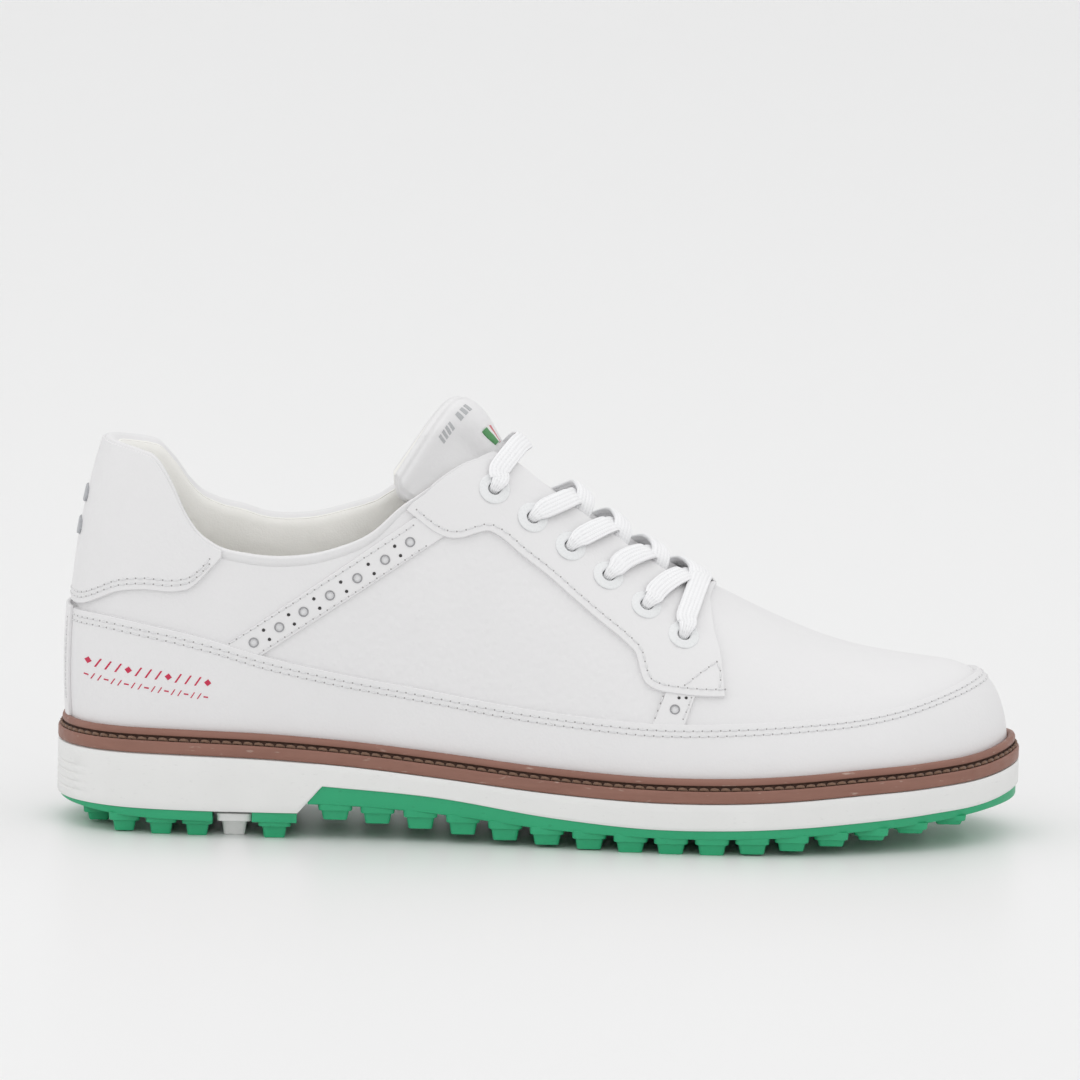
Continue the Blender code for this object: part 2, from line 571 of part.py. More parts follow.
def shell(name, angle, rise, faces, offsets, colour):
    """The solid between two offsets of the wall over the given triangles."""
    layers = []
    for offset in offsets:
        depth = offset(angle, rise) if callable(offset) else np.full(len(angle), offset)
        layers.append(wall(angle, rise, depth))
    n = len(angle)
    uses = {}
    # Points on the ridge belong to both sides.
    same = np.arange(n)
    ridge = {}
    for i in np.flatnonzero(rise > 0.9994):
        key = round(abs(float(np.degrees(wrapped(angle[i])))), 2)
        same[i] = ridge.setdefault(key, i)
    for a, b, c in faces:
        for edge in ((a, b), (b, c), (c, a)):
            key = tuple(sorted((int(same[edge[0]]), int(same[edge[1]]))))
            if key[0] != key[1]:
                uses[key] = None if key in uses else edge
    made = [(a, b, c) for a, b, c in faces] + [(c + n, b + n, a + n) for a, b, c in faces]
    for edge in uses.values():
        if edge is not None:
            a, b = edge
            made.append((b, a, a + n, b + n))
    return add(name, np.concatenate(layers), [tuple(int(i) for i in face) for face in made], colour)


def band(first, last, low, high, step=COLUMN_STEP):
    """An outline between two curves of rise by angle, from angle first to last."""
    angles = np.linspace(first, last, max(2, round(abs(last - first) / step)) + 1)
    return np.concatenate([
        np.column_stack([angles, low(angles)]),
        np.column_stack([angles, high(angles)])[::-1],
    ])


def level(value):
    return lambda angles: np.full(len(angles), float(value))


def side_angle(x, side):
    return side * np.arccos(np.clip(-np.asarray(x, float) / HALF_LENGTH, -1, 1))


def circle_on_wall(angle, rise, radius, corners=8):
    """A hole's outline in (angle, rise), round in space."""
    here = section(angle, rise)
    by_angle = (section(angle + 1e-3, rise) - here) / 1e-3
    by_rise = (section(angle, rise + 1e-3) - here) / 1e-3
    normal = wall_normal(angle, rise)
    across = by_angle / np.linalg.norm(by_angle)
    up = np.cross(normal, across)
    basis = np.column_stack([by_angle, by_rise])
    loop = []
    for k in range(corners):
        turn = 2 * math.pi * (k + 0.5) / corners
        move = radius * (math.cos(turn) * across + math.sin(turn) * up)
        by = np.linalg.lstsq(basis, move, rcond=None)[0]
        loop.append((angle + by[0], rise + by[1]))
    return np.array(loop)


def instep_rise(x, distance):
    """The (angle, rise) of the point at x whose distance from the ridge, measured over the wall, is given.

    Distance is negative on the lateral side.
    """
    side = -1 if distance < 0 else 1
    angle = float(side_angle(x, side))
    rises = np.linspace(1, 0, 201)
    points = section(np.full(201, angle), rises)
    run = np.concatenate([[0], np.cumsum(np.linalg.norm(np.diff(points, axis=0), axis=1))])
    return angle, float(np.interp(abs(distance), run, rises))


def instep(x, distance, offset):
    """(point, normal) over the instep."""
    angle, rise = instep_rise(x, distance)
    return wall(angle, rise, offset), wall_normal(angle, rise)


def eyelet_places():
    """(x, distance from the ridge) of the eyelets of one side, the highest first."""
    share = np.linspace(0, 1, EYELETS)
    x = EYELET_HIGH[0] + share * (EYELET_LOW[0] - EYELET_HIGH[0])
    z = EYELET_HIGH[1] + share * (EYELET_LOW[1] - EYELET_HIGH[1])
    angles, rises = locate(x, z, LATERAL)
    places = []
    for angle, rise in zip(angles, rises):
        points = section(np.full(101, angle), np.linspace(rise, 1, 101))
        run = float(np.linalg.norm(np.diff(points, axis=0), axis=1).sum())
        places.append((-HALF_LENGTH * math.cos(angle), run))
    return places


def eyelet_holes(side, radius):
    holes = []
    for x, distance in eyelet_places():
        holes.append(circle_on_wall(*instep_rise(x, side * distance), radius))
    return holes


def make_sole():
    heel_or_fore = lambda x: np.where(x < BREAST_BACK + 0.01, HEEL_TOP, np.where(
        x < BREAST_FRONT, HEEL_TOP + (fore_bottom(BREAST_FRONT) - HEEL_TOP)
        * (x - BREAST_BACK) / (BREAST_FRONT - BREAST_BACK), fore_bottom(x)))
    midsole = plate("midsole", "white_rubber", 0.3, heel_or_fore, midsole_top,
                    side=[(-0.3, 0.08), (-0.3, 0.55), (-0.1, 0.93)], extra=(BREAST_BACK, BREAST_FRONT))
    bars = []
    for low, high in ((-31.5, -8.5), (-6.0, 6.0), (8.5, 30.5)):
        shrink = [(-99.2, low), (-89.3, low), (-89.3, high), (-99.2, high)]
        tip = [(-97.8, low + 1.4), (-90.7, low + 1.4), (-90.7, high - 1.4), (-97.8, high - 1.4)]
        bars.append(block([(x, y, 0.0) for x, y in tip], [(x, y, HEEL_TOP + 1.5) for x, y in shrink]))
    joined(midsole, merged("midsole_bars", bars, "white_rubber"))

    fore = plate("outsole_forefoot", "green_rubber", 0.8, fore_plate_bottom, shifted(fore_bottom, -0.3),
                 span=(BREAST_FRONT + 0.7, 200))
    shapes = [lug_shape(x, y, float(fore_plate_bottom(x)), max(float(lug_bottom(x)), 0.0)) for x, y in lug_places()]
    joined(fore, merged("forefoot_lugs", shapes, "green_rubber"))

    rear = plate("outsole_heel_rear", "green_rubber", 1.0, heel_plate_bottom, shifted(level_height(HEEL_TOP), -0.3),
                 span=(-200, -100.2), step=6)
    shapes = []
    for x, lift in ((-137.0, 1.2), (-129.0, 0.3), (-117.5, 0.0), (-106.0, 0.0)):
        edge = abs(float(sole_edge(side_angle(x, MEDIAL))[1]))
        for y in (-edge + 6.5, edge - 6.5) if x > -136 else (-12.0, 0.0, 12.0):
            shapes.append(lug_shape(x, y, 5.4, lift, length=8.6, width=8.6))
        if -125 < x:
            shapes += [lug_shape(x, y, 5.4, lift, length=8.6, width=8.6) for y in (-13.0, 0.0, 13.0)]
    joined(rear, merged("heel_lugs", shapes, "green_rubber"))
    plate("outsole_heel_front", "green_rubber", 1.0, level_height(0.0), level_height(HEEL_TOP - 0.3),
          span=(-88.0, BREAST_BACK - 0.2), step=6)


def level_height(value):
    return lambda x: np.full(np.shape(x), float(value))


WELT_SECTION = [(3.4, 0.3), (0.2, 0.3), (0.0, 0.7), (0.0, 4.2), (0.8, 4.2), (0.9, 3.2), (1.7, 3.2), (1.8, 4.6),
                (2.1, 7.2), (2.9, 7.0)]


def make_welt():
    angles = side_columns(6)
    rings = []
    for inset, height in WELT_SECTION:
        flat = sole_edge(angles, inset)
        rings.append(np.column_stack([flat, midsole_top(-HALF_LENGTH * np.cos(angles)) + height]))
    loft("welt", rings, "brown_welt", closed_rows=True)
    rings = []
    for inset, height in ((1.3, 3.6), (1.02, 3.9), (1.3, 4.3), (1.58, 3.9)):
        flat = sole_edge(angles, inset)
        rings.append(np.column_stack([flat, midsole_top(-HALF_LENGTH * np.cos(angles)) + height]))
    loft("welt_stitching", rings, "brown_thread", closed_rows=True)


def make_footing():
    plate("cork_filler", "cork", 10.4, shifted(midsole_top, FILLER[0]), shifted(midsole_top, FILLER[1]),
          span=(8, 200))
    points = []
    for x in (-112.0, -80.0, -50.0, -25.0, 2.0):
        for y, more in ((-7.0, 0.9), (7.0, 0.9), (7.0, 2.3), (-7.0, 2.3)):
            points.append((x, y, float(midsole_top(x)) + more))
    loft("shank", np.array(points).reshape(5, 4, 3), "steel", capped=True)
    plate("insole_board", "stiffener", 10.4, shifted(midsole_top, BOARD[0]), shifted(midsole_top, BOARD[1]))
    hinge = (FOOTBED_HINGE_X, 0.0, float(midsole_top(FOOTBED_HINGE_X)) + FOOTBED[0])
    plate("footbed", "cream_lining", 12.2, shifted(midsole_top, FOOTBED[0]), footbed_top,
          side=[(-0.3, 0.4)], origin=hinge)


def footbed_top(x):
    """The footbed's top, a little raised under the arch and level elsewhere."""
    return midsole_top(x) + FOOTBED[1] + 1.5 * np.exp(-(((np.asarray(x) + 40) / 30) ** 2))


def collar_depth(angle, rise):
    """How far the lining is pushed in by the collar's foam."""
    top = top_rise(angle)
    here, edge = section(angle, rise), section(angle, top)
    below = np.linalg.norm(edge - here, axis=-1)
    x = here[..., 0]
    share = np.clip(below / COLLAR_DEPTH, 0, 1)
    swell = np.sin(math.pi * np.clip(share, 0, 1)) ** 1.0
    fade = np.clip((-42 - x) / 24, 0, 1)
    return COLLAR_PAD * swell * fade * (below < COLLAR_DEPTH)


def lining_outer(angle, rise):
    return LINING[1] - collar_depth(angle, rise)


def lining_inner(angle, rise):
    return LINING[0] - collar_depth(angle, rise)


def below_top(by):
    return lambda angles: top_rise(angles) - by


def front_outline(x_from, low=0.0, gap=0.003):
    """An outline of the wall in front of x_from, right over the ridge and open where the throat is."""
    start = float(side_angle(x_from, MEDIAL)) + gap
    near = float(side_angle(THROAT_X + 1.5, MEDIAL))
    fine = np.linspace(start, near, 6)[:-1] if near > start else np.array([])
    first = max(start, near)
    coarse = np.linspace(first, math.pi, round((math.pi - first) / COLUMN_STEP) + 1)
    half = np.concatenate([fine, coarse])
    angles = np.concatenate([half, 2 * math.pi - half[:-1][::-1]])
    x = -HALF_LENGTH * np.cos(angles)
    high = np.where(x < THROAT_X, top_rise(wrapped(angles)), 1.0)
    tip = np.abs(wrapped(angles)) > math.pi - 1e-6
    high = np.where(high > 0.985, 1.0, high)
    return np.concatenate([
        np.column_stack([angles, np.full(len(angles), low)]),
        np.column_stack([angles[~tip], high[~tip]])[::-1],
    ])


def make_upper():
    seam, gap, split = float(side_angle(VAMP_SEAM_X, MEDIAL)), 0.003, 0.012
    panel("vamp", front_outline(VAMP_SEAM_X), OUTER, "white_leather")
    panel("lining_vamp", front_outline(VAMP_SEAM_X), LINING, "cream_lining", spread=1.25)
    panel("toe_puff", front_outline(94.0, 0.05), STIFFENER, "stiffener", spread=1.25)
    for side, word in ((LATERAL, "lateral"), (MEDIAL, "medial")):
        ends = sorted((side * split, side * (seam - gap)))
        outline = band(*ends, level(0.0), below_top(0.0))
        panel("quarter_" + word, outline, OUTER, "white_leather", eyelet_holes(side, EYELET_HOLE))
    holes = eyelet_holes(LATERAL, EYELET_HOLE + 0.6) + eyelet_holes(MEDIAL, EYELET_HOLE + 0.6)
    whole = band(-seam + gap, seam - gap, level(0.0), below_top(0.002))
    panel("lining_quarter", whole, (lining_inner, lining_outer), "cream_lining", holes)
    counter = band(-1.12, 1.12, level(0.03), lambda a: seam_rise(a, curve_through(COUNTER_TOP)), 1.25 * COLUMN_STEP)
    panel("heel_counter", counter, STIFFENER, "stiffener", spread=1.25)
    make_collar_foam()


def make_collar_foam():
    end = float(side_angle(-63, MEDIAL))

    def low(angles):
        rises = np.linspace(0, 1, 301)
        points = section(angles[:, None], rises)
        edge = section(angles, top_rise(angles))
        below = np.linalg.norm(edge[:, None] - points, axis=-1)
        under = rises[None] < top_rise(angles)[:, None]
        return np.where((below > COLLAR_DEPTH - 1.0) & under, rises, 0).max(axis=1)

    outline = band(-end, end, low, below_top(0.010))
    panel("collar_foam", outline, (foam_inner, STIFFENER[1] + 0.1), "foam")


def foam_inner(angle, rise):
    return lining_outer(angle, rise) + 0.9


def side_outline(points, side):
    """An outline drawn in the side view, as (x, z), carried onto one side of the wall."""
    points = densified(np.array(points, float), 6.0)
    return np.column_stack(locate(points[:, 0], points[:, 1], side))


def eyestay_outline(side):
    edge = np.column_stack(locate(*np.transpose(EYESTAY_EDGE), side))
    front = [(float(side_angle(x, side)), 0.985) for x in (53.5, 52.4)]
    x = np.concatenate([np.linspace(51.4, 46, 4), np.linspace(42, -14, 9)])
    throat = np.column_stack([side_angle(x, side), top_rise(side_angle(x, side)) - 0.004])
    top = np.column_stack(locate(*np.transpose(EYESTAY_TOP), side))
    return np.concatenate([edge, front, throat, top])


def heel_cap_outline():
    angles = np.radians(np.arange(-75, 75.1, 3.0))
    low, high = seam_rise(angles, heel_cap_bottom), top_rise(angles) - 0.002
    keep = high - low > 0.012
    angles, low, high = angles[keep], low[keep], high[keep]
    return np.concatenate([np.column_stack([angles, low]), np.column_stack([angles, high])[::-1]])


def make_overlays():
    split = 0.006
    rand_rise = lambda a: seam_rise(wrapped(a), rand_top)
    panel("rand", band(split, 2 * math.pi - split, level(0.0), rand_rise), OVERLAY, "white_leather")
    panel("heel_cap", heel_cap_outline(), OVERLAY, "white_leather")
    backstay = band(-0.135, 0.135, level(0.075), lambda a: rand_rise(a) + 0.004, 0.07)
    panel("backstay", backstay, (OVERLAY[1] + 0.3, OVERLAY[1] + 1.3), "white_leather")
    for z, half, word in ((101.0, 0.15, "upper"), (91.0, 0.15, "lower")):
        low = lambda a: seam_rise(a, level_height(z - 2.4))
        high = lambda a: seam_rise(a, level_height(z + 2.4))
        mark = band(-half, half, low, high, 0.1)
        panel("heel_mark_" + word, mark, (OVERLAY[1] + 0.3, OVERLAY[1] + 0.9), "steel_grey")
    for side, word in ((LATERAL, "lateral"), (MEDIAL, "medial")):
        panel("eyestay_" + word, eyestay_outline(side), OVERLAY, "white_leather", eyelet_holes(side, EYELET_HOLE))
        holes = [circle_on_wall(a, r, STRIP_HOLE, 6) for a, r in zip(*locate(*np.transpose(STRIP_HOLES), side))]
        panel("brogue_strip_" + word, side_outline(STRIP, side), OVERLAY, "white_leather", holes)
        hole = circle_on_wall(*[float(v[0]) for v in locate(*FRONT_STRIP_HOLE, side)], STRIP_HOLE, 6)
        panel("front_strip_" + word, side_outline(FRONT_STRIP, side), OVERLAY, "white_leather", [hole])


def make_eyelets():
    profile = [(EYELET_BORE, 2.5), (EYELET_FLANGE, 2.0), (EYELET_FLANGE, 1.85), (EYELET_TUBE, 1.85),
               (EYELET_TUBE, -4.25), (EYELET_TUBE + 1.0, -4.3), (EYELET_BORE, -4.6)]
    for side, word in ((LATERAL, "lateral"), (MEDIAL, "medial")):
        for number, (x, distance) in enumerate(eyelet_places(), 1):
            centre, normal = instep(x, side * distance, 0.0)
            across = np.cross(normal, (1.0, 0.0, 0.0))
            across /= np.linalg.norm(across)
            ahead = np.cross(across, normal)
            rings = []
            for radius, height in profile:
                turns = 2 * np.pi * (np.arange(8) + 0.5) / 8
                ring = np.cos(turns)[:, None] * ahead + np.sin(turns)[:, None] * across
                rings.append(centre + radius * ring + height * normal)
            loft(f"eyelet_{word}_{number}", rings, "white_enamel", closed_rows=True)


def tongue_point(station, distance, depth):
    """A point of the tongue: station is its x on the ridge, distance runs across it, depth is from its leather."""
    lean = float(tongue_lean(station))
    x = station - lean * abs(distance)
    angle, rise = instep_rise(x, distance)
    free = min(max((rise - float(top_rise(angle)[0]) - 0.03) / 0.12, 0.0), 1.0)
    under = float(tongue_under(station))
    offset = under * (1 - free) + float(tongue_offset(station)) * free
    return wall(angle, rise, offset + depth)


def tongue_layer(name, colour, outer, inner, narrower=0.0, first=66.0, last=-27.0):
    """One layer, with outer and inner depths as functions of the station."""
    upper, lower = [], []
    for station in np.clip(np.linspace(66, -27, 14), last, first):
        half = float(tongue_half_width(station))
        share = np.linspace(-1, 1, 11)
        across = half * np.sign(share) * np.abs(share) ** 1.3
        across = np.clip(across, narrower - half, half - narrower)
        upper.append([tongue_point(station, d, outer(station)) for d in across])
        lower.append([tongue_point(station, d, inner(station)) for d in across])
    return slab(name, upper, lower, colour, TONGUE_HINGE)


def make_tongue():
    foam_bottom = lambda s: -1.8 - float(tongue_foam(s))
    tongue_layer("tongue_leather", "white_leather", lambda s: 0.0, lambda s: -1.3)
    tongue_layer("tongue_foam", "foam", lambda s: -2.2, foam_bottom, narrower=1.0, first=62.0, last=-26.0)
    tongue_layer("tongue_lining", "cream_lining", lambda s: foam_bottom(s) - 0.55, lambda s: foam_bottom(s) - 1.4)
    rings = []
    for station in (-20.0, -23.0, -26.0):
        row = [-3.0, 0.5, 4.0]
        upper = [tongue_point(station, d - 3.0, 0.9) for d in row]
        lower = [tongue_point(station, d - 3.0, 0.3) for d in row[::-1]]
        rings.append(upper + lower)
    loft("tongue_label", rings, "label", capped=True, origin=TONGUE_HINGE)


class LaceRoute:
    """The lace's stations in order: (point, normal, direction of travel or None, width, thickness)."""

    def __init__(self):
        self.stations = []

    def put(self, x, distance, offset, heading, width=LACE_WIDTH, thick=LACE_THICK):
        point, normal = instep(x, distance, offset)
        self.stations.append((point, normal, heading, width, thick))

    def through(self, x, distance, arrive, leave, down=True):
        """Through an eyelet. arrive and leave are (dx, dd), the way it comes and goes along the wall."""
        levels = [(4.4, LACE_ABOVE), (2.5, LACE_ABOVE), (0.9, 3.15), (0.1, 1.6), (0.1, -3.6), (0.9, -5.45),
                  (2.5, LACE_BELOW), (4.4, LACE_BELOW)]
        widths = [5.2, 3.3, 2.3, 2.3, 2.3, 2.3, 3.3, 5.2]
        if not down:
            levels, widths = levels[::-1], widths[::-1]
        for k, ((away, offset), width) in enumerate(zip(levels, widths)):
            dx, dd = arrive if k < 4 else leave
            way = -away if k < 4 else away
            thick = LACE_THICK if width > 3 else 1.5
            self.put(x + way * dx, distance + way * dd, offset, (dx, dd), width, thick)

    def rings(self):
        points = np.array([s[0] for s in self.stations])
        tangents = np.gradient(points, axis=0)
        tangents /= np.linalg.norm(tangents, axis=1, keepdims=True)
        rings, last = [], None
        for (point, normal, heading, width, thick), tangent in zip(self.stations, tangents):
            ahead = np.array([heading[0], 0, 0]) + heading[1] * np.cross(np.array([1.0, 0, 0]), normal) * -1
            side = np.cross(normal, ahead)
            side -= side.dot(tangent) * tangent
            side /= np.linalg.norm(side)
            if last is not None and side.dot(last) < 0:
                side = -side
            last = side
            rise = np.cross(tangent, side)
            w, t = width / 2, thick / 2
            rings.append([point + a * w * side + b * t * rise
                          for a, b in ((-1, 0), (-0.8, -1), (0.8, -1), (1, 0), (0.8, 1), (-0.8, 1))])
        return np.array(rings)


def unit(dx, dd):
    length = math.hypot(dx, dd)
    return dx / length, dd / length


def crossing(route, side, x0, x1, reach, over):
    """From under the eyestay of one side at x0 to over the other's at x1."""
    lane = curve_through(OVER_LANE if over else UNDER_LANE)
    share = 0.25 + 0.5 * min(1.0, 16 / reach)
    drift = curve_through([(-9.5, -1), (-6, -0.86), (-3, -0.5), (0, 0), (4, share * 0.55), (9, share), (reach, 1)])
    far = reach - 5.2
    stations = [-far, -9, -6.5, -4, -1.5, 1, 3.5, 6, 9, far]
    if far > 16:
        stations += [-(far + 9) / 2, (far + 9) / 2]
    for d in sorted(stations):
        x = (x0 + x1) / 2 + (x1 - x0) / 2 * float(drift(d))
        slope = (x1 - x0) / 2 * float(drift(d + 0.1) - drift(d - 0.1)) / 0.2
        route.put(x, -side * d, float(lane(d)), unit(slope, -side), 4.4 if abs(d) < 6 else 5.2)


def straight_bar(route, x, start, end):
    """Over the throat from distance start to distance end."""
    for distance in np.linspace(start, end, 9):
        route.put(x, distance, LACE_ABOVE, (0, math.copysign(1, end - start)), 6.0)


def tail(route, x, distance):
    """A loose end, tucked down inside along the lateral side."""
    for more, offset, width in ((8, -5.7, 6.4), (16, -5.8, 6.4), (26, -6.4, 6.4), (38, -7.0, 6.4), (46, -7.2, 5.0),
                                (50, -7.2, 2.5), (54, -7.2, 2.5), (TAIL, -7.2, 2.5)):
        route.put(x, -distance - more, offset, (0, -1), width, LACE_THICK if width > 3 else 1.6)


def half_route(side, over_first):
    """From the middle of the lowest bar, zigzagging up to the second eyelet. Returns the route and its last side."""
    places = eyelet_places()
    route = LaceRoute()
    x, distance = places[-1]
    for along in np.linspace(2.5, distance - 6.0, 6):
        route.put(x, side * along, LACE_ABOVE, (0, side), 6.0)
    arrive, over = (0.0, side), over_first
    for k in range(EYELETS - 1, 1, -1):
        (x0, d0), (x1, d1) = places[k], places[k - 1]
        route.through(x0, side * d0, arrive, (0.0, -side))
        crossing(route, side, x0, x1, (d0 + d1) / 2, over)
        arrive, side, over = unit(-0.15, -side), -side, not over
    return route, side, arrive


def make_lace():
    places = eyelet_places()
    (x_high, d_high), (x_next, d_next) = places[0], places[1]
    one, side, arrive = half_route(LATERAL, True)
    one.through(x_next, side * d_next, arrive, (0.0, side))
    tail(one, x_next, d_next)

    two, side, arrive = half_route(MEDIAL, False)
    two.through(x_next, side * d_next, arrive, (-1.0, 0.0))
    two.through(x_high, side * d_high, (-1.0, 0.0), (0.0, -side), down=False)
    straight_bar(two, x_high, side * (d_high - 6.5), -side * (d_high - 6.5))
    two.through(x_high, -side * d_high, (0.0, -side), (0.0, -side))
    tail(two, x_high, d_high)

    whole = LaceRoute()
    whole.stations = two.stations[::-1] + one.stations
    rings = whole.rings()
    loft("lace", rings, "white_lace", capped=True)
    make_aglet("aglet_upper", rings[:3][::-1])
    make_aglet("aglet_lower", rings[-3:])


def make_aglet(name, rings):
    """A sheath round the lace's last few millimetres; rings end at the tip."""
    start, end = rings[0].mean(axis=0), rings[-1].mean(axis=0)
    along = (end - start) / np.linalg.norm(end - start)
    side = rings[-1][3] - rings[-1][0]
    side -= side.dot(along) * along
    side /= np.linalg.norm(side)
    up = np.cross(along, side)
    turns = 2 * np.pi * np.arange(8) / 8
    made = []
    for radius, at in ((1.85, start + 0.4 * along), (2.2, start + 0.4 * along), (2.2, end + 0.6 * along),
                       (1.85, end + 0.6 * along)):
        made.append(at + radius * (np.cos(turns)[:, None] * side + np.sin(turns)[:, None] * up))
    loft(name, made, "aglet", closed_rows=True)


def clear_scene():
    for old in list(bpy.data.objects):
        bpy.data.objects.remove(old)


clear_scene()
make_sole()
make_welt()
make_footing()
make_upper()
make_overlays()
make_eyelets()
make_tongue()
make_lace()
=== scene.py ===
"""The looks of a golf shoe: leather, rubber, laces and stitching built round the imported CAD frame.

Shapes are worked out in millimetres, on the same surface as the CAD: wall(angle, rise, offset), where angle
goes round the shoe from the heel and rise goes from the sole to the instep's ridge. They are scaled to metres
as meshes are made.
"""

import math

import bmesh
import bpy
import numpy as np
from mathutils import Matrix, Vector, geometry


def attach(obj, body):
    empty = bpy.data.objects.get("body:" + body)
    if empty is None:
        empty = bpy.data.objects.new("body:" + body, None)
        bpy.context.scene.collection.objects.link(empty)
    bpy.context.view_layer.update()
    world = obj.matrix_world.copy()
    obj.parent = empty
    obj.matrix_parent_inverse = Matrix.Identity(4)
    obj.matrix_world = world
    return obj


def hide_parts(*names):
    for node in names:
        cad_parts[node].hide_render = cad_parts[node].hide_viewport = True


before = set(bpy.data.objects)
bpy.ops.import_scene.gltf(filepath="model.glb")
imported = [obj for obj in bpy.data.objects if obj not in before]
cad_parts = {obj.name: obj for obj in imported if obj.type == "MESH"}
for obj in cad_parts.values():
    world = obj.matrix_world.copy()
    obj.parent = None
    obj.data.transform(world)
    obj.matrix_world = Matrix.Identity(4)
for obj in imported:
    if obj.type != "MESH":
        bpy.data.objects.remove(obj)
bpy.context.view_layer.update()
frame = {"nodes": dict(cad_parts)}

MM = 0.001

# Driving dimensions, in millimetres.
HALF_LENGTH = 149.0
FEATHER_INSET = 5.5  # from the sole's edge to the outer face of the vamp and quarters
LATERAL, MEDIAL = -1, 1

# Half-widths of the sole's outline, by angle from the heel in steps of 15 degrees.
EDGE_STEP = 15
EDGE_LATERAL = [18.5, 31.5, 36.8, 37.8, 39.5, 45.5, 52.0, 52.3, 43.8, 30.0, 12.5]
EDGE_MEDIAL = [18.0, 31.0, 36.0, 35.5, 34.0, 39.5, 49.5, 53.8, 49.5, 38.0, 24.0]
TOE_TIP_Y = 6.0

# Heights along the length, as (x, z).
MIDSOLE_TOP = [(-149, 25.2), (-113, 25.6), (-93, 25.3), (-62, 23.6), (-31, 20.7), (6, 17.4), (37, 16.2),
               (58, 16.4), (79, 17.4), (100, 18.8), (121, 19.8), (143, 21.8), (149, 23.2)]
MIDSOLE_BOTTOM = [(-66.5, 16.9), (-31, 14.4), (6, 9.7), (37, 7.8), (58, 8.0), (79, 8.9), (100, 10.2),
                  (121, 11.6), (143, 13.9), (149, 15.6)]
FORE_PLATE_BOTTOM = [(-70, 11.1), (-62, 10.9), (-31, 9.2), (6, 5.9), (37, 5.0), (50, 5.0), (79, 6.0),
                     (100, 7.3), (121, 8.8), (149, 11.8)]
HEEL_PLATE_BOTTOM = [(-149, 7.4), (-137, 6.2), (-120, 5.2), (-110, 5.0), (-70, 5.0)]
HEEL_TOP = 8.2  # where the midsole's heel ends and its rubber begins
BREAST_BACK, BREAST_FRONT = -74.0, -66.5
RIDGE = [(-105, 172), (-80, 168), (-60, 158), (-45, 147), (-29, 135.5), (-14, 124), (6, 106), (21, 94.5),
         (32, 86.5), (45, 79), (54, 74.8), (65, 69.5), (75, 65), (87, 60.3), (98, 57.2), (112, 54.9),
         (122, 53.8)]
RIDGE_Y = [(-105, 0), (-40, 1.0), (20, 3.0), (80, 4.5), (122, 5.5)]
RIDGE_BACK, RIDGE_FRONT = -105.0, 122.0
FAN_BACK, FAN_FRONT = -60.0, 88.0  # beyond these the wall's sections fan out round the heel and toe

LUG_BOTTOM = [(-64, 6.3), (-50, 5.4), (-36, 4.2), (-24, 3.1), (-12, 2.0), (2, 1.1), (15, 0.4), (26, 0.0),
              (60, 0.0), (69, 0.8), (81, 1.8), (94, 3.2), (108, 4.8), (121, 6.3), (129, 7.4), (138, 8.8)]

FORE_LUGS, FIRST_LUG_X, LAST_LUG_X, FORE_LUG_PITCH = 16, -62.5, 139.0, 12.9
EDGE_LUG_INSET, INNER_LUG_INSET = 6.2, 24.0
WIDE_FOR_ONE, WIDE_FOR_THREE = 56, 74  # how wide the sole is where one or three inner lugs fit in a row
# Length, width and, for the forefoot's, the share of both that the block takes.
FORE_LUG, HEEL_LUG, BREAST_LUG = (10.4, 9.6, 0.83), (9.4, 9.0), (10.0, 9.6)
HEEL_LUGS = [(-135.6, 1.2), (-127.4, 0.3), (-116.0, 0.0), (-104.8, 0.0)]  # (x, foot's height) of each row
BREAST_LUG_X, LUG_ROOT = -81.0, 5.4
BAR_X, BAR_LENGTH = -93.4, 10.6
BARS = ((-34.5, -8.5), (-6.0, 6.0), (8.5, 33.5))  # the white bars' ends across the heel

# The wall's section is a cubic from the sole's edge to the ridge; these shape it along the length.
WALL_START = 0.7  # above the midsole
LOWER_HANDLE = [(-149, 0.30), (-100, 0.36), (-60, 0.42), (-20, 0.55), (60, 0.55), (100, 0.6), (149, 0.68)]
UPPER_HANDLE = [(-149, 0.90), (-100, 0.85), (-60, 0.78), (-20, 0.55), (20, 0.5), (60, 0.5), (100, 0.55),
                (149, 0.62)]
UPPER_DROP = [(-149, 0.22), (-100, 0.15), (-60, 0.08), (-20, 0.0), (149, 0.0)]
BULGE = [(-149, 5.3), (-100, 3.5), (-60, 2.5), (-20, 1.0), (20, 1.0), (60, 1.5), (100, 1.5), (149, 1.0)]

# Seams of the upper, seen from the side, as (x, z).
TOPLINE_LATERAL = [(-150, 119.5), (-133.6, 119), (-128.2, 118.3), (-124.1, 117.5), (-120, 115.9),
                   (-115, 108.8), (-110.1, 99.1), (-106.8, 94.4), (-101.6, 90.4), (-90.5, 87.4),
                   (-77.5, 86.9), (-64, 89.5), (-52, 95), (-43.7, 102.6), (-36.9, 107.4), (-31.1, 112.1),
                   (-25.9, 115.2), (-21.7, 116.7), (-15.9, 118.5), (-5, 128), (60, 140)]
MEDIAL_RISE = [(-150, -1), (-126.4, -1.5), (-118, -1.0), (-109.4, 3.5), (-95, 6.3), (-86, 5.0), (-73, 4.5),
               (-56, 4.0), (-47, 2.0), (-36, 0), (60, 0)]
RAND_TOP = [(-150, 65.8), (-136.7, 66.9), (-120.2, 65.0), (-103.1, 61.6), (-86.8, 57.0), (-62, 51.7),
            (-34.1, 47.2), (-6.2, 43.0), (18.6, 40.6), (35.2, 39.5), (65, 39.8), (82.1, 40.4), (97.5, 41.2),
            (112.9, 43.5), (124.5, 46.5), (129.6, 48.1), (135, 50.0), (150, 52)]
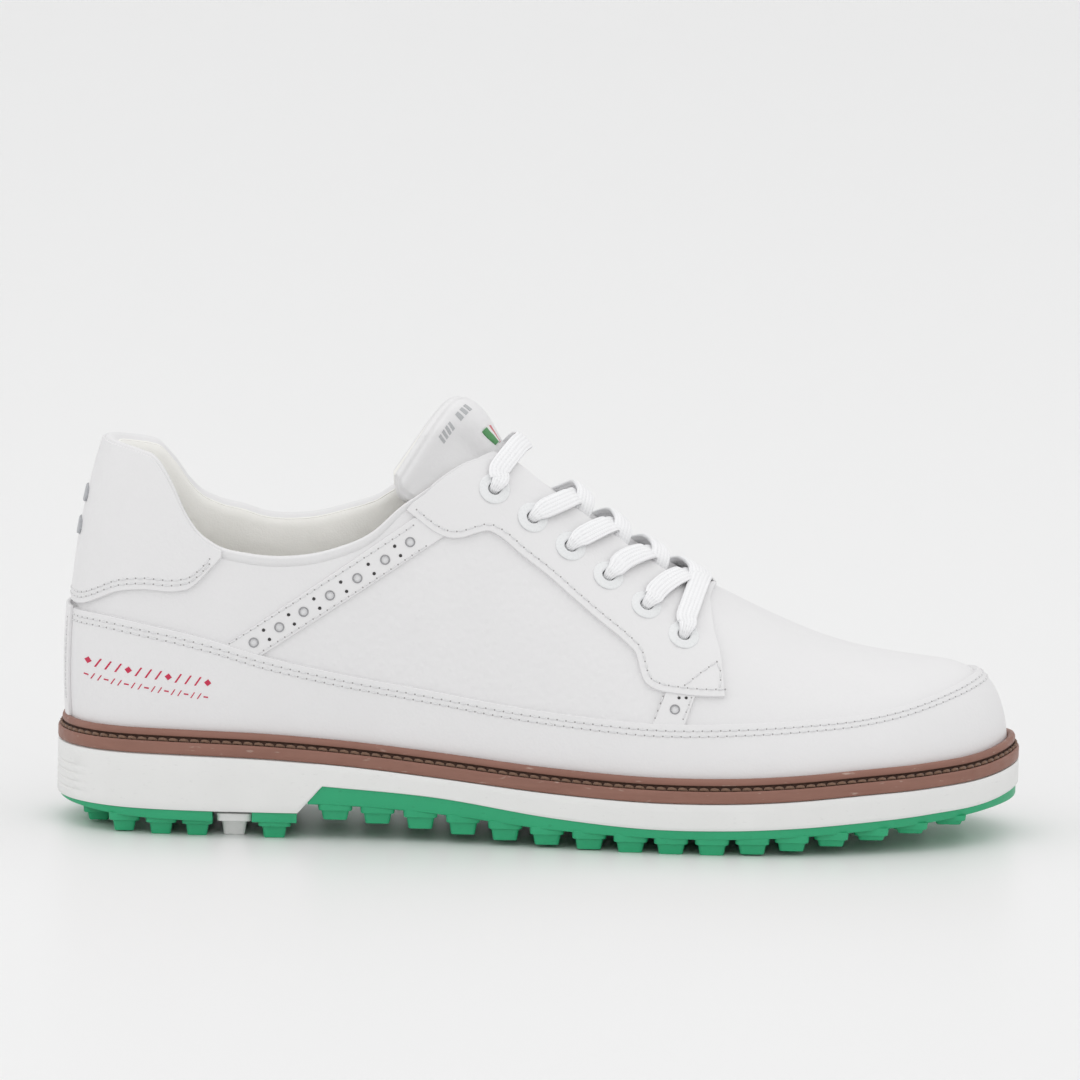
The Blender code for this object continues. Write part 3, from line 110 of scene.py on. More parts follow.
HEEL_CAP_BOTTOM = [(-150, 68.0), (-140.5, 69.0), (-136.7, 71.1), (-130.8, 74.3), (-124.3, 75.7),
                   (-111.7, 75.9), (-108.3, 76.8), (-104.9, 79.8), (-101.6, 83.6), (-98.5, 86.8),
                   (-95.4, 89.5), (-88, 97), (-60, 140)]
EYESTAY_EDGE = [(-42.3, 101.8), (-38.7, 99.1), (-32.8, 95.0), (-29, 93.6), (-25, 93.6), (-20.7, 94.9),
                (-16.7, 95.6), (-13.7, 94.2), (-6.9, 88.8), (1.7, 82.4), (10.2, 75.4), (18.8, 68.6),
                (25.6, 63.4), (29.1, 60), (30.7, 55.1), (32.2, 51.7), (36.3, 49.3), (41.2, 48.4),
                (48.9, 47.6), (56.8, 47.4), (55.9, 54.3), (54.8, 60.2), (53.2, 64.7), (51.5, 73.1)]
EYESTAY_TOP = [(-17, 116.3), (-21.7, 115.7), (-25.9, 114.2), (-31.1, 111.1), (-36.9, 106.4), (-40.5, 103.9)]
STRIP_HOLES = [(-88.4, 60.7), (-80.6, 65.6), (-73.2, 70.5), (-65.2, 75.7), (-56.9, 81.1), (-48.5, 86.8),
               (-40.9, 92.2)]
STRIP = [(-94.5, 61.4), (-43.8, 96.8), (-31.8, 93.0), (-84.3, 57.9)]
STRIP_HOLE = 1.4
FRONT_STRIP = [(39.6, 51.0), (36.6, 44.0), (34.4, 38.0), (44.4, 38.0), (46.2, 43.5), (48.8, 50.5)]
FRONT_STRIP_HOLE, FRONT_STRIP_SMALL = (41.6, 43.8), [(42.8, 47.2), (45.0, 47.2)]
PRINT_START, PRINT_END = (-138.4, 52.1), (-102.2, 48.0)  # ends of the upper row of marks on the heel's side
THROAT_HALF_GAP = 13.5
THROAT_X = 52.0
COLLAR_FRONT = -45.0
THROAT_END = 9.0  # length of the throat's rounded front end
VAMP_SEAM_X = 46.0

# Layers of the upper: (inner, outer) offset from the face of the vamp and quarters.
OVERLAY = (0.5, 1.6)
OUTER = (-1.2, 0.0)
LINING = (-3.9, -3.1)
COLLAR_PAD = 3.2  # extra depth of the foam round the collar
COLLAR_DEPTH = 26.0

# Eyelets, as the side-view places of the highest and the lowest one on each side.
EYELETS = 6  # on each side
EYELET_HIGH, EYELET_LOW = (-15.6, 107.6), (43.6, 64.4)
EYELET_BORE, EYELET_TUBE = 2.0, 2.35  # radii
EYELET_HOLE = 2.7  # in the leather

# Lace.
LACE_WIDTH, LACE_THICK = 6.6, 1.8
LACE_ABOVE = 3.1  # middle of the lace over the eyestay
LACE_BELOW = -5.8  # middle of the lace under the lining
EYELET_REACH = 4.6  # how far from an eyelet's middle its part of the lace's route starts and ends

# Tongue, by station: the x at which a section across it meets the ridge.
# How far back its sides sweep.
TONGUE_LEAN = [(-27, 0.42), (-20, 0.42), (-10, 0.35), (10, 0.1), (25, 0), (66, 0)]
TONGUE_UNDER = [(-27, -7.0), (50, -7.0), (58, -5.2), (66, -4.7)]  # its leather's offset under the eyestays
TONGUE_OFFSET = [(-27, -0.8), (-23, -2.0), (-19, -5.0), (-16, -7.0), (50, -7.0), (58, -5.2), (66, -4.7)]
# Its rise between the eyestays.
TONGUE_SWELL = [(-27, 0.8), (-24, 2.2), (-19, 5.2), (-14, 6.6), (0, 6.2), (20, 5.4), (42, 5.0), (47, 3.0),
                (52, 0)]
TONGUE_RIDGE = 12.5  # half the width of that rise
TONGUE_TIP, TONGUE_ROOT = -27, 66  # the stations of its ends
TONGUE_SEAM = 1.9  # how far from its edge the leather is pulled in by the seam
TONGUE_HALF_WIDTH = [(-27, 43), (-24, 48), (-18, 48), (-10, 40), (10, 30), (20, 27), (66, 20)]
TONGUE_FOAM = [(-27, 5.0), (-20, 4.6), (-10, 3.4), (30, 3.0), (52, 2.6), (66, 1.2)]

TAIL = 58.0  # from the eyelet to the tip of a loose end
HIGH_BOW, LOW_BOW = 8.5, 5.5  # how far the highest and the lowest bar bow toward the toe
# The two ways a lane of lace crosses the throat: (distance, offset) from under one eyestay to over the other.
OVER_LANE = [(-30, -5.8), (-15.5, -5.7), (-12.5, -3.8), (-10, -0.4), (-7, 1.8), (0, 3.0), (7, 2.6), (11, 3.2),
             (14.5, 3.5), (30, 3.1)]
UNDER_LANE = [(-30, -5.8), (-15.5, -5.7), (-12, -4.2), (-8, -0.8), (0, 0.9), (7, 0.7), (10, 1.4), (12.5, 3.0),
              (14.5, 3.5), (30, 3.1)]
# How far a crossing lace has gone along the shoe, from -1 at the eyelet it comes from to 1 at the next.
LACE_DRIFT = [(-30, -1), (-18, -1.55), (-12, -1.75), (-5, -1.65), (0, -1.5), (5, -1.3), (12, -0.95),
              (18, -0.4), (24, 0.35)]

FOOTBED = (6.0, 10.2)  # its bottom and top, above the midsole's top
COLUMN_STEP = math.radians(6)  # a panel's mesh, before it is made finer
ROW_STEP = 1 / 12
CHART_RISE = 60.0  # a rise of 1 in the chart of a panel, in which a degree round the shoe is 1
RIDGE_RISE = 0.9994  # at and above this rise the wall's two sides meet
# Offsets of the overlays and of the punched strips, which go a little into the leather below them.
OVERLAY_LOOK, STRIP_LOOK = (-0.3, 1.6), (-0.3, 1.0)
STRIP_LEVEL = STRIP_LOOK[1]
SIDES = ((LATERAL, "lateral"), (MEDIAL, "medial"))


def curve_through(points):
    """A smooth function of x through (x, value) pairs, flat beyond its ends."""
    xs, ys = np.array(points, float).T
    slopes = np.gradient(ys, xs)

    def value(x):
        x = np.clip(np.asarray(x, float), xs[0], xs[-1])
        i = np.clip(np.searchsorted(xs, x) - 1, 0, len(xs) - 2)
        width = xs[i + 1] - xs[i]
        s = (x - xs[i]) / width
        return (
            (1 + 2 * s) * (1 - s) ** 2 * ys[i]
            + s * (1 - s) ** 2 * width * slopes[i]
            + s * s * (3 - 2 * s) * ys[i + 1]
            + s * s * (s - 1) * width * slopes[i + 1]
        )

    return value


def closed_edge_table():
    """The outline's (degrees, y) all the way round and a step past each end, so that it closes smoothly."""
    lateral = [(-EDGE_STEP * (i + 1), -w) for i, w in enumerate(EDGE_LATERAL)]
    medial = [(EDGE_STEP * (i + 1), w) for i, w in enumerate(EDGE_MEDIAL)]
    table = lateral[::-1] + [(0, 0.0)] + medial + [(180, TOE_TIP_Y)]
    before = [(-195, EDGE_MEDIAL[-1]), (-180, TOE_TIP_Y)]
    return before + table + [(195, -EDGE_LATERAL[-1])]


def run_along(points):
    """The distance from the first point to each, along the line through them."""
    return np.concatenate([[0], np.cumsum(np.linalg.norm(np.diff(points, axis=0), axis=1))])


edge_y = curve_through(closed_edge_table())
midsole_top = curve_through(MIDSOLE_TOP)
fore_bottom = curve_through(MIDSOLE_BOTTOM)
fore_plate_bottom, lug_bottom = curve_through(FORE_PLATE_BOTTOM), curve_through(LUG_BOTTOM)
heel_plate_bottom = curve_through(HEEL_PLATE_BOTTOM)
ridge_z, ridge_y = curve_through(RIDGE), curve_through(RIDGE_Y)
lower_handle, upper_handle = curve_through(LOWER_HANDLE), curve_through(UPPER_HANDLE)
upper_drop, bulge = curve_through(UPPER_DROP), curve_through(BULGE)
topline_lateral, medial_rise = curve_through(TOPLINE_LATERAL), curve_through(MEDIAL_RISE)
tongue_lean = curve_through(TONGUE_LEAN)
tongue_under = curve_through(TONGUE_UNDER)
tongue_swell = curve_through(TONGUE_SWELL)
tongue_offset = curve_through(TONGUE_OFFSET)
tongue_half_width = curve_through(TONGUE_HALF_WIDTH)
tongue_foam = curve_through(TONGUE_FOAM)
rand_top, heel_cap_bottom = curve_through(RAND_TOP), curve_through(HEEL_CAP_BOTTOM)


def wrapped(angle):
    """The same angle between -pi and pi."""
    return (np.asarray(angle, float) + math.pi) % (2 * math.pi) - math.pi


def sole_edge(angle, inset=0.0):
    """Points (x, y) on the sole's outline, moved in by inset."""
    angle = np.asarray(angle, float)

    def on_outline(a):
        return np.stack([-HALF_LENGTH * np.cos(a), edge_y(np.degrees(wrapped(a)))], -1)

    return on_outline(angle) - np.expand_dims(np.asarray(inset, float), -1) * sole_outward(angle)


def sole_outward(angle):
    """The outline's outward direction (x, y)."""
    ahead, behind = angle + 0.03, angle - 0.03
    along_x = -HALF_LENGTH * (np.cos(ahead) - np.cos(behind))
    along_y = edge_y(np.degrees(wrapped(ahead))) - edge_y(np.degrees(wrapped(behind)))
    outward = np.stack([-along_y, along_x], -1)
    return outward / np.linalg.norm(outward, axis=-1, keepdims=True)


def ridge_x(angle):
    """Where the section at an angle meets the ridge: level with the outline, but drawn in at heel and toe."""
    x = -HALF_LENGTH * np.cos(angle)
    s_front = np.clip((x - FAN_FRONT) / (HALF_LENGTH - FAN_FRONT), 0, 1)
    s_back = np.clip((FAN_BACK - x) / (HALF_LENGTH + FAN_BACK), 0, 1)
    k_front = (HALF_LENGTH - FAN_FRONT) / (RIDGE_FRONT - FAN_FRONT)
    k_back = (HALF_LENGTH + FAN_BACK) / (FAN_BACK - RIDGE_BACK)
    front = FAN_FRONT + (RIDGE_FRONT - FAN_FRONT) * (k_front * s_front + (1 - k_front) * s_front**2)
    back = FAN_BACK - (FAN_BACK - RIDGE_BACK) * (k_back * s_back + (1 - k_back) * s_back**2)
    return np.where(x > FAN_FRONT, front, np.where(x < FAN_BACK, back, x))


def section(angle, rise):
    """Points of the outer face of the vamp and quarters."""
    angle, rise = np.broadcast_arrays(np.asarray(angle, float), np.asarray(rise, float))
    level = -HALF_LENGTH * np.cos(angle)
    foot, outward = sole_edge(angle, FEATHER_INSET), sole_outward(angle)
    foot_z = midsole_top(level) + WALL_START
    x = ridge_x(angle)
    top, top_z = np.stack([x, ridge_y(x)], -1), ridge_z(x)
    height = top_z - foot_z
    low = foot + outward * bulge(level)[..., None]
    high = top + (foot - top) * upper_handle(level)[..., None]
    corners = [
        (foot, foot_z),
        (low, foot_z + lower_handle(level) * height),
        (high, top_z - upper_drop(level) * height),
        (top, top_z),
    ]
    weights = [(1 - rise) ** 3, 3 * rise * (1 - rise) ** 2, 3 * rise**2 * (1 - rise), rise**3]
    flat = sum(w[..., None] * xy for w, (xy, _) in zip(weights, corners))
    z = sum(w * z for w, (_, z) in zip(weights, corners))
    return np.concatenate([flat, z[..., None]], -1)


def wall_normal(angle, rise):
    """The outer face's normals, pointing out."""
    angle, rise = np.broadcast_arrays(np.asarray(angle, float), np.asarray(rise, float))
    rise = np.clip(rise, 0.002, 0.998)
    along = section(angle + 0.01, rise) - section(angle - 0.01, rise)
    up = section(angle, rise + 0.002) - section(angle, rise - 0.002)
    normal = np.cross(up, along)
    return normal / np.linalg.norm(normal, axis=-1, keepdims=True)


def wall(angle, rise, offset=0.0):
    """Points at an offset from the outer face of the vamp and quarters, outwards."""
    angle, rise = np.broadcast_arrays(np.asarray(angle, float), np.asarray(rise, float))
    normal = wall_normal(angle, rise)
    both = normal + wall_normal(-angle, rise)
    both /= np.linalg.norm(both, axis=-1, keepdims=True)
    normal = np.where((rise > RIDGE_RISE)[..., None], both, normal)
    return section(angle, rise) + np.asarray(offset, float)[..., None] * normal


def rise_where(angle, height_over):
    """The lowest rise at which height_over(points), which starts negative, reaches zero, or 1."""
    angle = np.atleast_1d(angle)
    rises = np.linspace(0, 1, 301)
    value = height_over(section(angle[:, None], rises[None, :]))
    above = value >= 0
    above[:, -1] = True
    i = np.maximum(above.argmax(axis=1), 1)
    rows = np.arange(len(angle))
    v0, v1 = value[rows, i - 1], value[rows, i]
    share = np.clip(-v0 / np.where(v1 - v0 == 0, 1, v1 - v0), 0, 1)
    return rises[i - 1] + share * (rises[i] - rises[i - 1])


def seam_rise(angle, seam):
    """The rise at which the wall crosses a seam given as a height along the length."""
    return rise_where(angle, lambda p: p[..., 2] - seam(p[..., 0]))


def throat_gap(x):
    """Half the gap between the eyestays."""
    end = np.clip((x - THROAT_X + THROAT_END) / THROAT_END, 0, 1)
    return THROAT_HALF_GAP * np.sqrt(1 - end**2)


def throat_rise(angle, gap_more=0.0):
    """The rise at which the wall comes to the throat."""
    def inside(p):
        gap = throat_gap(p[..., 0]) + gap_more - np.abs(p[..., 1] - ridge_y(p[..., 0]))
        return np.where(p[..., 0] < COLLAR_FRONT, -1, gap)

    return rise_where(angle, inside)


def top_rise(angle, below=0.0):
    """The rise of the collar's and throat's edge."""
    angle = np.atleast_1d(np.asarray(angle, float))
    medial = np.clip(wrapped(angle) / 0.5, 0, 1)[:, None]
    medial = medial * medial * (3 - 2 * medial)

    def over_collar(p):
        more = medial * medial_rise(p[..., 0])
        return p[..., 2] - topline_lateral(p[..., 0]) - more + below

    return np.minimum(rise_where(angle, over_collar), throat_rise(angle, below))


def locate(x, z, side):
    """The (angle, rise) of the point of one side that is seen from that side at (x, z)."""
    x, z = np.atleast_1d(np.asarray(x, float)), np.atleast_1d(np.asarray(z, float))
    angle = side * np.arccos(np.clip(-x / HALF_LENGTH, -0.99, 0.99))
    rise = np.full_like(x, 0.4)
    for _ in range(60):
        here = section(angle, rise)[..., [0, 2]]
        by_angle = (section(angle + 1e-4, rise)[..., [0, 2]] - here) / 1e-4
        by_rise = (section(angle, rise + 1e-4)[..., [0, 2]] - here) / 1e-4
        jacobian = np.stack([by_angle, by_rise], -1)
        step = np.linalg.solve(jacobian, (np.stack([x, z], -1) - here)[..., None])[..., 0]
        angle = angle + np.clip(step[..., 0], -0.1, 0.1)
        rise = np.clip(rise + np.clip(step[..., 1], -0.1, 0.1), 0.0, 0.999)
    return angle, rise


def side_columns(step, extra=()):
    """Angles round the sole, from -pi to under pi, the same on both sides, with extra ones at given x."""
    degrees = set(np.round(np.arange(0, 181, step), 6))
    for x in extra:
        angle = math.degrees(math.acos(-x / HALF_LENGTH))
        degrees = {d for d in degrees if abs(d - angle) > 0.45 * step} | {angle}
    half = sorted(degrees)
    return np.radians([-d for d in half[::-1] if d > 0] + [d for d in half if 0 <= d < 180])


def spine(angle, ends=28.0):
    """The middle of the sole at each angle, where the two sides of a flat layer meet."""
    x = np.clip(-HALF_LENGTH * np.cos(angle), ends - HALF_LENGTH, HALF_LENGTH - ends)
    level = np.arccos(-x / HALF_LENGTH)
    middle = (sole_edge(level)[..., 1] + sole_edge(-level)[..., 1]) / 2
    return np.stack([x, middle], -1)


def shifted(curve, by):
    return lambda x: curve(x) + by


def lug_places():
    """(x, y) of the forefoot's lugs: a row inside each edge, and rows between them where the sole is wide."""
    places = []
    for i in range(FORE_LUGS):
        x = FIRST_LUG_X + FORE_LUG_PITCH * i
        level = math.acos(-min(x, LAST_LUG_X) / HALF_LENGTH)
        for side in (LATERAL, MEDIAL):
            places.append(tuple(sole_edge(side * level, EDGE_LUG_INSET)))
        low, high = sole_edge(-level)[1], sole_edge(level)[1]
        inner = [(low + high) / 2] if high - low >= WIDE_FOR_ONE else []
        if high - low > WIDE_FOR_THREE:
            inner = [low + INNER_LUG_INSET, (low + high) / 2, high - INNER_LUG_INSET]
        if i < FORE_LUGS - 1:
            places += [(x, y) for y in inner]
    return places


def inside_polygon(points, polygon):
    """Which points lie inside a polygon, both in the chart's plane."""
    x, y = points[:, 0, None], points[:, 1, None]
    x0, y0 = polygon[:, 0], polygon[:, 1]
    x1, y1 = np.roll(x0, -1), np.roll(y0, -1)
    crosses = (y0 > y) != (y1 > y)
    at = x0 + (y - y0) * (x1 - x0) / np.where(y1 == y0, 1, y1 - y0)
    return (crosses & (x < at)).sum(axis=1) % 2 == 1


def distance_to(points, polygon):
    """How far each point is from the polygon's outline."""
    start, end = polygon, np.roll(polygon, -1, axis=0)
    along = end - start
    share = ((points[:, None] - start) * along).sum(-1) / np.maximum((along**2).sum(-1), 1e-12)
    near = start + np.clip(share, 0, 1)[..., None] * along
    return np.linalg.norm(points[:, None] - near, axis=-1).min(axis=1)


def densified(polygon, longest):
    """The closed outline with more points, none of its sides longer than longest."""
    points = []
    for start, end in zip(polygon, np.roll(polygon, -1, axis=0)):
        parts = max(1, math.ceil(np.linalg.norm(end - start) / longest))
        points += [start + (end - start) * k / parts for k in range(parts)]
    return np.array(points)


def chart(angle, rise):
    """Places of the wall in the flat plane where panels are triangulated."""
    return np.column_stack([np.degrees(angle), np.asarray(rise) * CHART_RISE])


def band(first, last, low, high, step=COLUMN_STEP):
    """An outline between two curves of rise by angle, from angle first to last."""
    angles = np.linspace(first, last, max(2, round(abs(last - first) / step)) + 1)
    return there_and_back(angles, low(angles), high(angles))


def there_and_back(angles, low, high):
    return np.concatenate([np.column_stack([angles, low]), np.column_stack([angles, high])[::-1]])


def level(value):
    return lambda angles: np.full(len(angles), float(value))


def side_angle(x, side):
    return side * np.arccos(np.clip(-np.asarray(x, float) / HALF_LENGTH, -1, 1))


def circle_on_wall(angle, rise, radius, corners=8):
    """A hole's outline in (angle, rise), round in space."""
    here = section(angle, rise)
    by_angle = (section(angle + 1e-3, rise) - here) / 1e-3
    by_rise = (section(angle, rise + 1e-3) - here) / 1e-3
    normal = wall_normal(angle, rise)
    across = by_angle / np.linalg.norm(by_angle)
    up = np.cross(normal, across)
    basis = np.column_stack([by_angle, by_rise])
    loop = []
    for k in range(corners):
        turn = 2 * math.pi * (k + 0.5) / corners
        move = radius * (math.cos(turn) * across + math.sin(turn) * up)
        by = np.linalg.lstsq(basis, move, rcond=None)[0]
        loop.append((angle + by[0], rise + by[1]))
    return np.array(loop)


def instep_rise(x, distance):
    """The (angle, rise) of the point at x whose distance from the ridge, measured over the wall, is given.

    Distance is negative on the lateral side.
    """
    side = -1 if distance < 0 else 1
    angle = float(side_angle(x, side))
    rises = np.linspace(1, 0, 201)
    points = section(np.full(201, angle), rises)
    run = run_along(points)
    return angle, float(np.interp(abs(distance), run, rises))


def instep(x, distance, offset):
    """(point, normal) over the instep."""
    angle, rise = instep_rise(x, distance)
    return wall(angle, rise, offset), wall_normal(angle, rise)


def eyelet_places():
    """(x, distance from the ridge) of the eyelets of one side, the highest first."""
    share = np.linspace(0, 1, EYELETS)
    x = EYELET_HIGH[0] + share * (EYELET_LOW[0] - EYELET_HIGH[0])
    z = EYELET_HIGH[1] + share * (EYELET_LOW[1] - EYELET_HIGH[1])
    angles, rises = locate(x, z, LATERAL)
    places = []
    for angle, rise in zip(angles, rises):
        points = section(np.full(101, angle), np.linspace(rise, 1, 101))
        run = float(np.linalg.norm(np.diff(points, axis=0), axis=1).sum())
        places.append((-HALF_LENGTH * math.cos(angle), run))
    return places


def level_height(value):
    return lambda x: np.full(np.shape(x), float(value))


def footbed_top(x):
    """The footbed's top, a little raised under the arch and level elsewhere."""
    return midsole_top(x) + FOOTBED[1] + 1.5 * np.exp(-(((np.asarray(x) + 40) / 30) ** 2))


def collar_depth(angle, rise):
    """How far the lining is pushed in by the collar's foam."""
    top = top_rise(angle)
    here, edge = section(angle, rise), section(angle, top)
    below = np.linalg.norm(edge - here, axis=-1)
    x = here[..., 0]
    share = np.clip(below / COLLAR_DEPTH, 0, 1)
    swell = np.sin(math.pi * share)
    fade = np.clip((-42 - x) / 24, 0, 1)
    return COLLAR_PAD * swell * fade * (below < COLLAR_DEPTH)


def below_top(by):
    return lambda angles: top_rise(angles) - by


def front_outline(x_from, low=0.0, gap=0.003):
    """An outline of the wall in front of x_from, right over the ridge and open where the throat is."""
    start = float(side_angle(x_from, MEDIAL)) + gap
    near = float(side_angle(THROAT_X + 1.5, MEDIAL))
    fine = np.linspace(start, near, 6)[:-1] if near > start else np.array([])
    first = max(start, near)
    coarse = np.linspace(first, math.pi, round((math.pi - first) / COLUMN_STEP) + 1)
    half = np.concatenate([fine, coarse])
    angles = np.concatenate([half, 2 * math.pi - half[:-1][::-1]])
    x = -HALF_LENGTH * np.cos(angles)
    high = np.where(x < THROAT_X, top_rise(wrapped(angles)), 1.0)
    tip = np.abs(wrapped(angles)) > math.pi - 1e-6
    high = np.where(high > 0.985, 1.0, high)
    return np.concatenate([
        np.column_stack([angles, np.full(len(angles), low)]),
        np.column_stack([angles[~tip], high[~tip]])[::-1],
    ])


def tongue_point(station, distance, depth):
    """A point of the tongue.

    station is its x on the ridge, distance runs across it, and depth is its height over the tongue's leather.
    """
    lean = float(tongue_lean(station))
    x = station - lean * abs(distance)
    angle, rise = instep_rise(x, distance)
    free = min(max((rise - float(top_rise(angle)[0]) - 0.03) / 0.12, 0.0), 1.0)
    under = float(tongue_under(station))
    offset = under * (1 - free) + float(tongue_offset(station)) * free
    offset += float(tongue_swell(station)) * math.exp(-((abs(distance) / TONGUE_RIDGE) ** 6))
    return wall(angle, rise, offset + depth)


class LaceRoute:
    """The lace's stations in order: (point, normal, direction of travel or None, width, thickness)."""

    def __init__(self):
        self.stations = []

    def put(self, x, distance, offset, heading, width=LACE_WIDTH, thick=LACE_THICK):
        point, normal = instep(x, distance, offset)
        self.stations.append((point, normal, heading, width, thick))

    def through(self, x, distance, arrive, leave, down=True):
        """Through an eyelet. arrive and leave are (dx, dd), the way it comes and goes along the wall."""
        levels = [(EYELET_REACH, LACE_ABOVE), (2.6, LACE_ABOVE), (1.1, 3.2), (0.2, 1.5)]
        levels += [(0.1, -3.6), (1.0, -5.4), (2.6, LACE_BELOW), (EYELET_REACH, LACE_BELOW)]
        widths = [6.2, 5.2, 3.9, 3.2, 3.0, 3.6, 5.0, 6.0]
        if not down:
            levels, widths = levels[::-1], widths[::-1]
        for k, ((away, offset), width) in enumerate(zip(levels, widths)):
            dx, dd = arrive if k < 4 else leave
            way = -away if k < 4 else away
            thick = LACE_THICK + (1.1 if width < 4 else 0.3 if width < 5.5 else 0.0)
            self.put(x + way * dx, distance + way * dd, offset, (dx, dd), width, thick)


def unit(dx, dd):
    length = math.hypot(dx, dd)
    return dx / length, dd / length


def crossing(route, side, x0, x1, reach, over):
    """From under the eyestay of one side at x0 to over the other's at x1."""
    lane = curve_through(OVER_LANE if over else UNDER_LANE)
    drift = curve_through(LACE_DRIFT + [(reach, 1)])
    far = reach - 5.4
    stations = [-far, -20, -15, -12.5, -10, -7.5, -5, -2.5, 0, 2.5, 5, 7.5, 10, 12.5, 15, 20, far]
    for d in stations:
        x = (x0 + x1) / 2 + (x1 - x0) / 2 * float(drift(d))
        slope = (x1 - x0) / 2 * float(drift(d + 0.1) - drift(d - 0.1)) / 0.2
        route.put(x, -side * d, float(lane(d)), unit(slope, -side), LACE_WIDTH)


def bar(route, x, start, end, bow):
    """Over the throat from distance start to end, bowed toward the toe and sagging a little in the gap."""
    furthest = max(abs(start), abs(end))
    going = math.copysign(1, end - start)
    for distance in np.linspace(start, end, max(5, int(abs(end - start) / 3))):
        share = abs(distance) / furthest
        slope = -1.3 * bow * share**0.3 / furthest * math.copysign(1, distance) * going
        sag = 1.0 * max(0.0, 1 - (distance / THROAT_HALF_GAP) ** 2)
        route.put(x + bow * (1 - share**1.3), distance, LACE_ABOVE - sag, unit(slope, going))


def tail(route, x, distance):
    """A loose end, tucked down inside along the lateral side."""
    flat = [(8, -5.7, 6.4), (16, -5.8, 6.4), (26, -6.4, 6.4), (38, -7.0, 6.4)]
    narrow = [(46, -7.2, 5.0), (50, -7.2, 2.5), (54, -7.2, 2.5), (TAIL, -7.2, 2.5)]
    for more, offset, width in flat + narrow:
        route.put(x, -distance - more, offset, (0, -1), width, LACE_THICK if width > 3 else 1.6)


def half_route(side, over_first):
    """From the middle of the lowest bar, zigzagging up to the second eyelet.

    Returns the route, the side it ends on and the way it arrives there.
    """
    places = eyelet_places()
    route = LaceRoute()
    x, distance = places[-1]
    bar(route, x, side * 1.5, side * (distance - EYELET_REACH), LOW_BOW)
    arrive, over = unit(-0.2, side), over_first
    for k in range(EYELETS - 1, 1, -1):
        (x0, d0), (x1, d1) = places[k], places[k - 1]
        route.through(x0, side * d0, arrive, (0.0, -side))
        crossing(route, side, x0, x1, (d0 + d1) / 2, over)
        arrive, side, over = unit(-0.6, -side), -side, not over
    return route, side, arrive


# ---- Pieces ----


def add(name, points, faces, finishes, pick=None, kinds=None, sharp=40.0, bevel=0.0, body="shoe"):
    """A smooth-shaded mesh of points in millimetres that rides on a body.

    kinds holds each face's finish, or pick tells it from the face's middle.
    """
    mesh = bpy.data.meshes.new(name)
    faces = [tuple(int(i) for i in face) for face in faces]
    mesh.from_pydata((np.asarray(points, float) * MM).tolist(), [], faces)
    if kinds:
        mesh.polygons.foreach_set("material_index", kinds)
    tidy = bmesh.new()
    tidy.from_mesh(mesh)
    bmesh.ops.remove_doubles(tidy, verts=tidy.verts, dist=0.002 * MM)
    bmesh.ops.dissolve_degenerate(tidy, edges=tidy.edges, dist=0.001 * MM)
    bmesh.ops.recalc_face_normals(tidy, faces=tidy.faces)
    for face in tidy.faces:
        face.smooth = True
        if pick:
            face.material_index = pick(np.array(face.calc_center_median()) / MM)
    for edge in tidy.edges:
        edge.smooth = len(edge.link_faces) != 2 or math.degrees(edge.calc_face_angle(0.0)) < sharp
    tidy.to_mesh(mesh)
    tidy.free()
    made = bpy.data.objects.new(name, mesh)
    for finish in finishes if isinstance(finishes, (list, tuple)) else [finishes]:
        made.data.materials.append(finish)
    bpy.context.scene.collection.objects.link(made)
    if bevel:
        rounding = made.modifiers.new("rounded", "BEVEL")
        rounding.width, rounding.segments = bevel * MM, 3
        rounding.limit_method, rounding.angle_limit = "ANGLE", math.radians(50)
        rounding.harden_normals = True
        for edge in mesh.edges:
            edge.use_edge_sharp = False
    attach(made, body)
    return made


def stands_for(piece, slot, *nodes):
    """Hides the CAD nodes that a piece replaces; slot is not used."""
    if nodes:
        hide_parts(*nodes)
    return piece


def plain_mesh(name, points, faces, finishes, body="shoe", kinds=None, uvs=None):
    """A mesh of points in millimetres, left as it is, that rides on a body.

    kinds holds each face's finish, and only kind 0 is smooth. uvs holds each point's place in a map.
    """
    mesh = bpy.data.meshes.new(name)
    mesh.from_pydata((np.asarray(points, float) * MM).tolist(), [], faces)
    for polygon, kind in zip(mesh.polygons, kinds or []):
        polygon.use_smooth = kind == 0
        polygon.material_index = kind
    if uvs is not None:
        layer = mesh.uv_layers.new(name="threads")
        for loop in mesh.loops:
            layer.data[loop.index].uv = uvs[loop.vertex_index]
    for finish in finishes:
        mesh.materials.append(finish)
    made = bpy.data.objects.new(name, mesh)
    bpy.context.scene.collection.objects.link(made)
    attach(made, body)
    return made


def joined(pieces):
    """Several (points, faces) as one."""
    points, faces, count = [], [], 0
    for more, more_faces in pieces:
        points.append(np.asarray(more, float))
        faces += [tuple(count + i for i in face) for face in more_faces]
        count += len(more)
    return np.concatenate(points), faces


def prism_faces(corners):
    """Faces between two rings of corners, with both ends closed."""
    top, low = range(corners), range(corners, 2 * corners)
    walls = [(i, corners + i, corners + (i + 1) % corners, (i + 1) % corners) for i in top]
    return [tuple(top), tuple(low)[::-1], *walls]


def sheet_faces(rows, columns):
    """Faces of a grid, the same grid below it and the rim between the two."""
    below = rows * columns
    faces = []
    for face in grid_faces(rows, columns, closed_columns=False):
        faces += [face, tuple(i + below for i in face[::-1])]
    rim = list(range(columns)) + [i * columns + columns - 1 for i in range(1, rows)]
    rim += [(rows - 1) * columns + j for j in range(columns - 2, -1, -1)]
    rim += [i * columns for i in range(rows - 2, 0, -1)]
    return faces + [(b, a, a + below, b + below) for a, b in zip(rim, rim[1:] + rim[:1])]


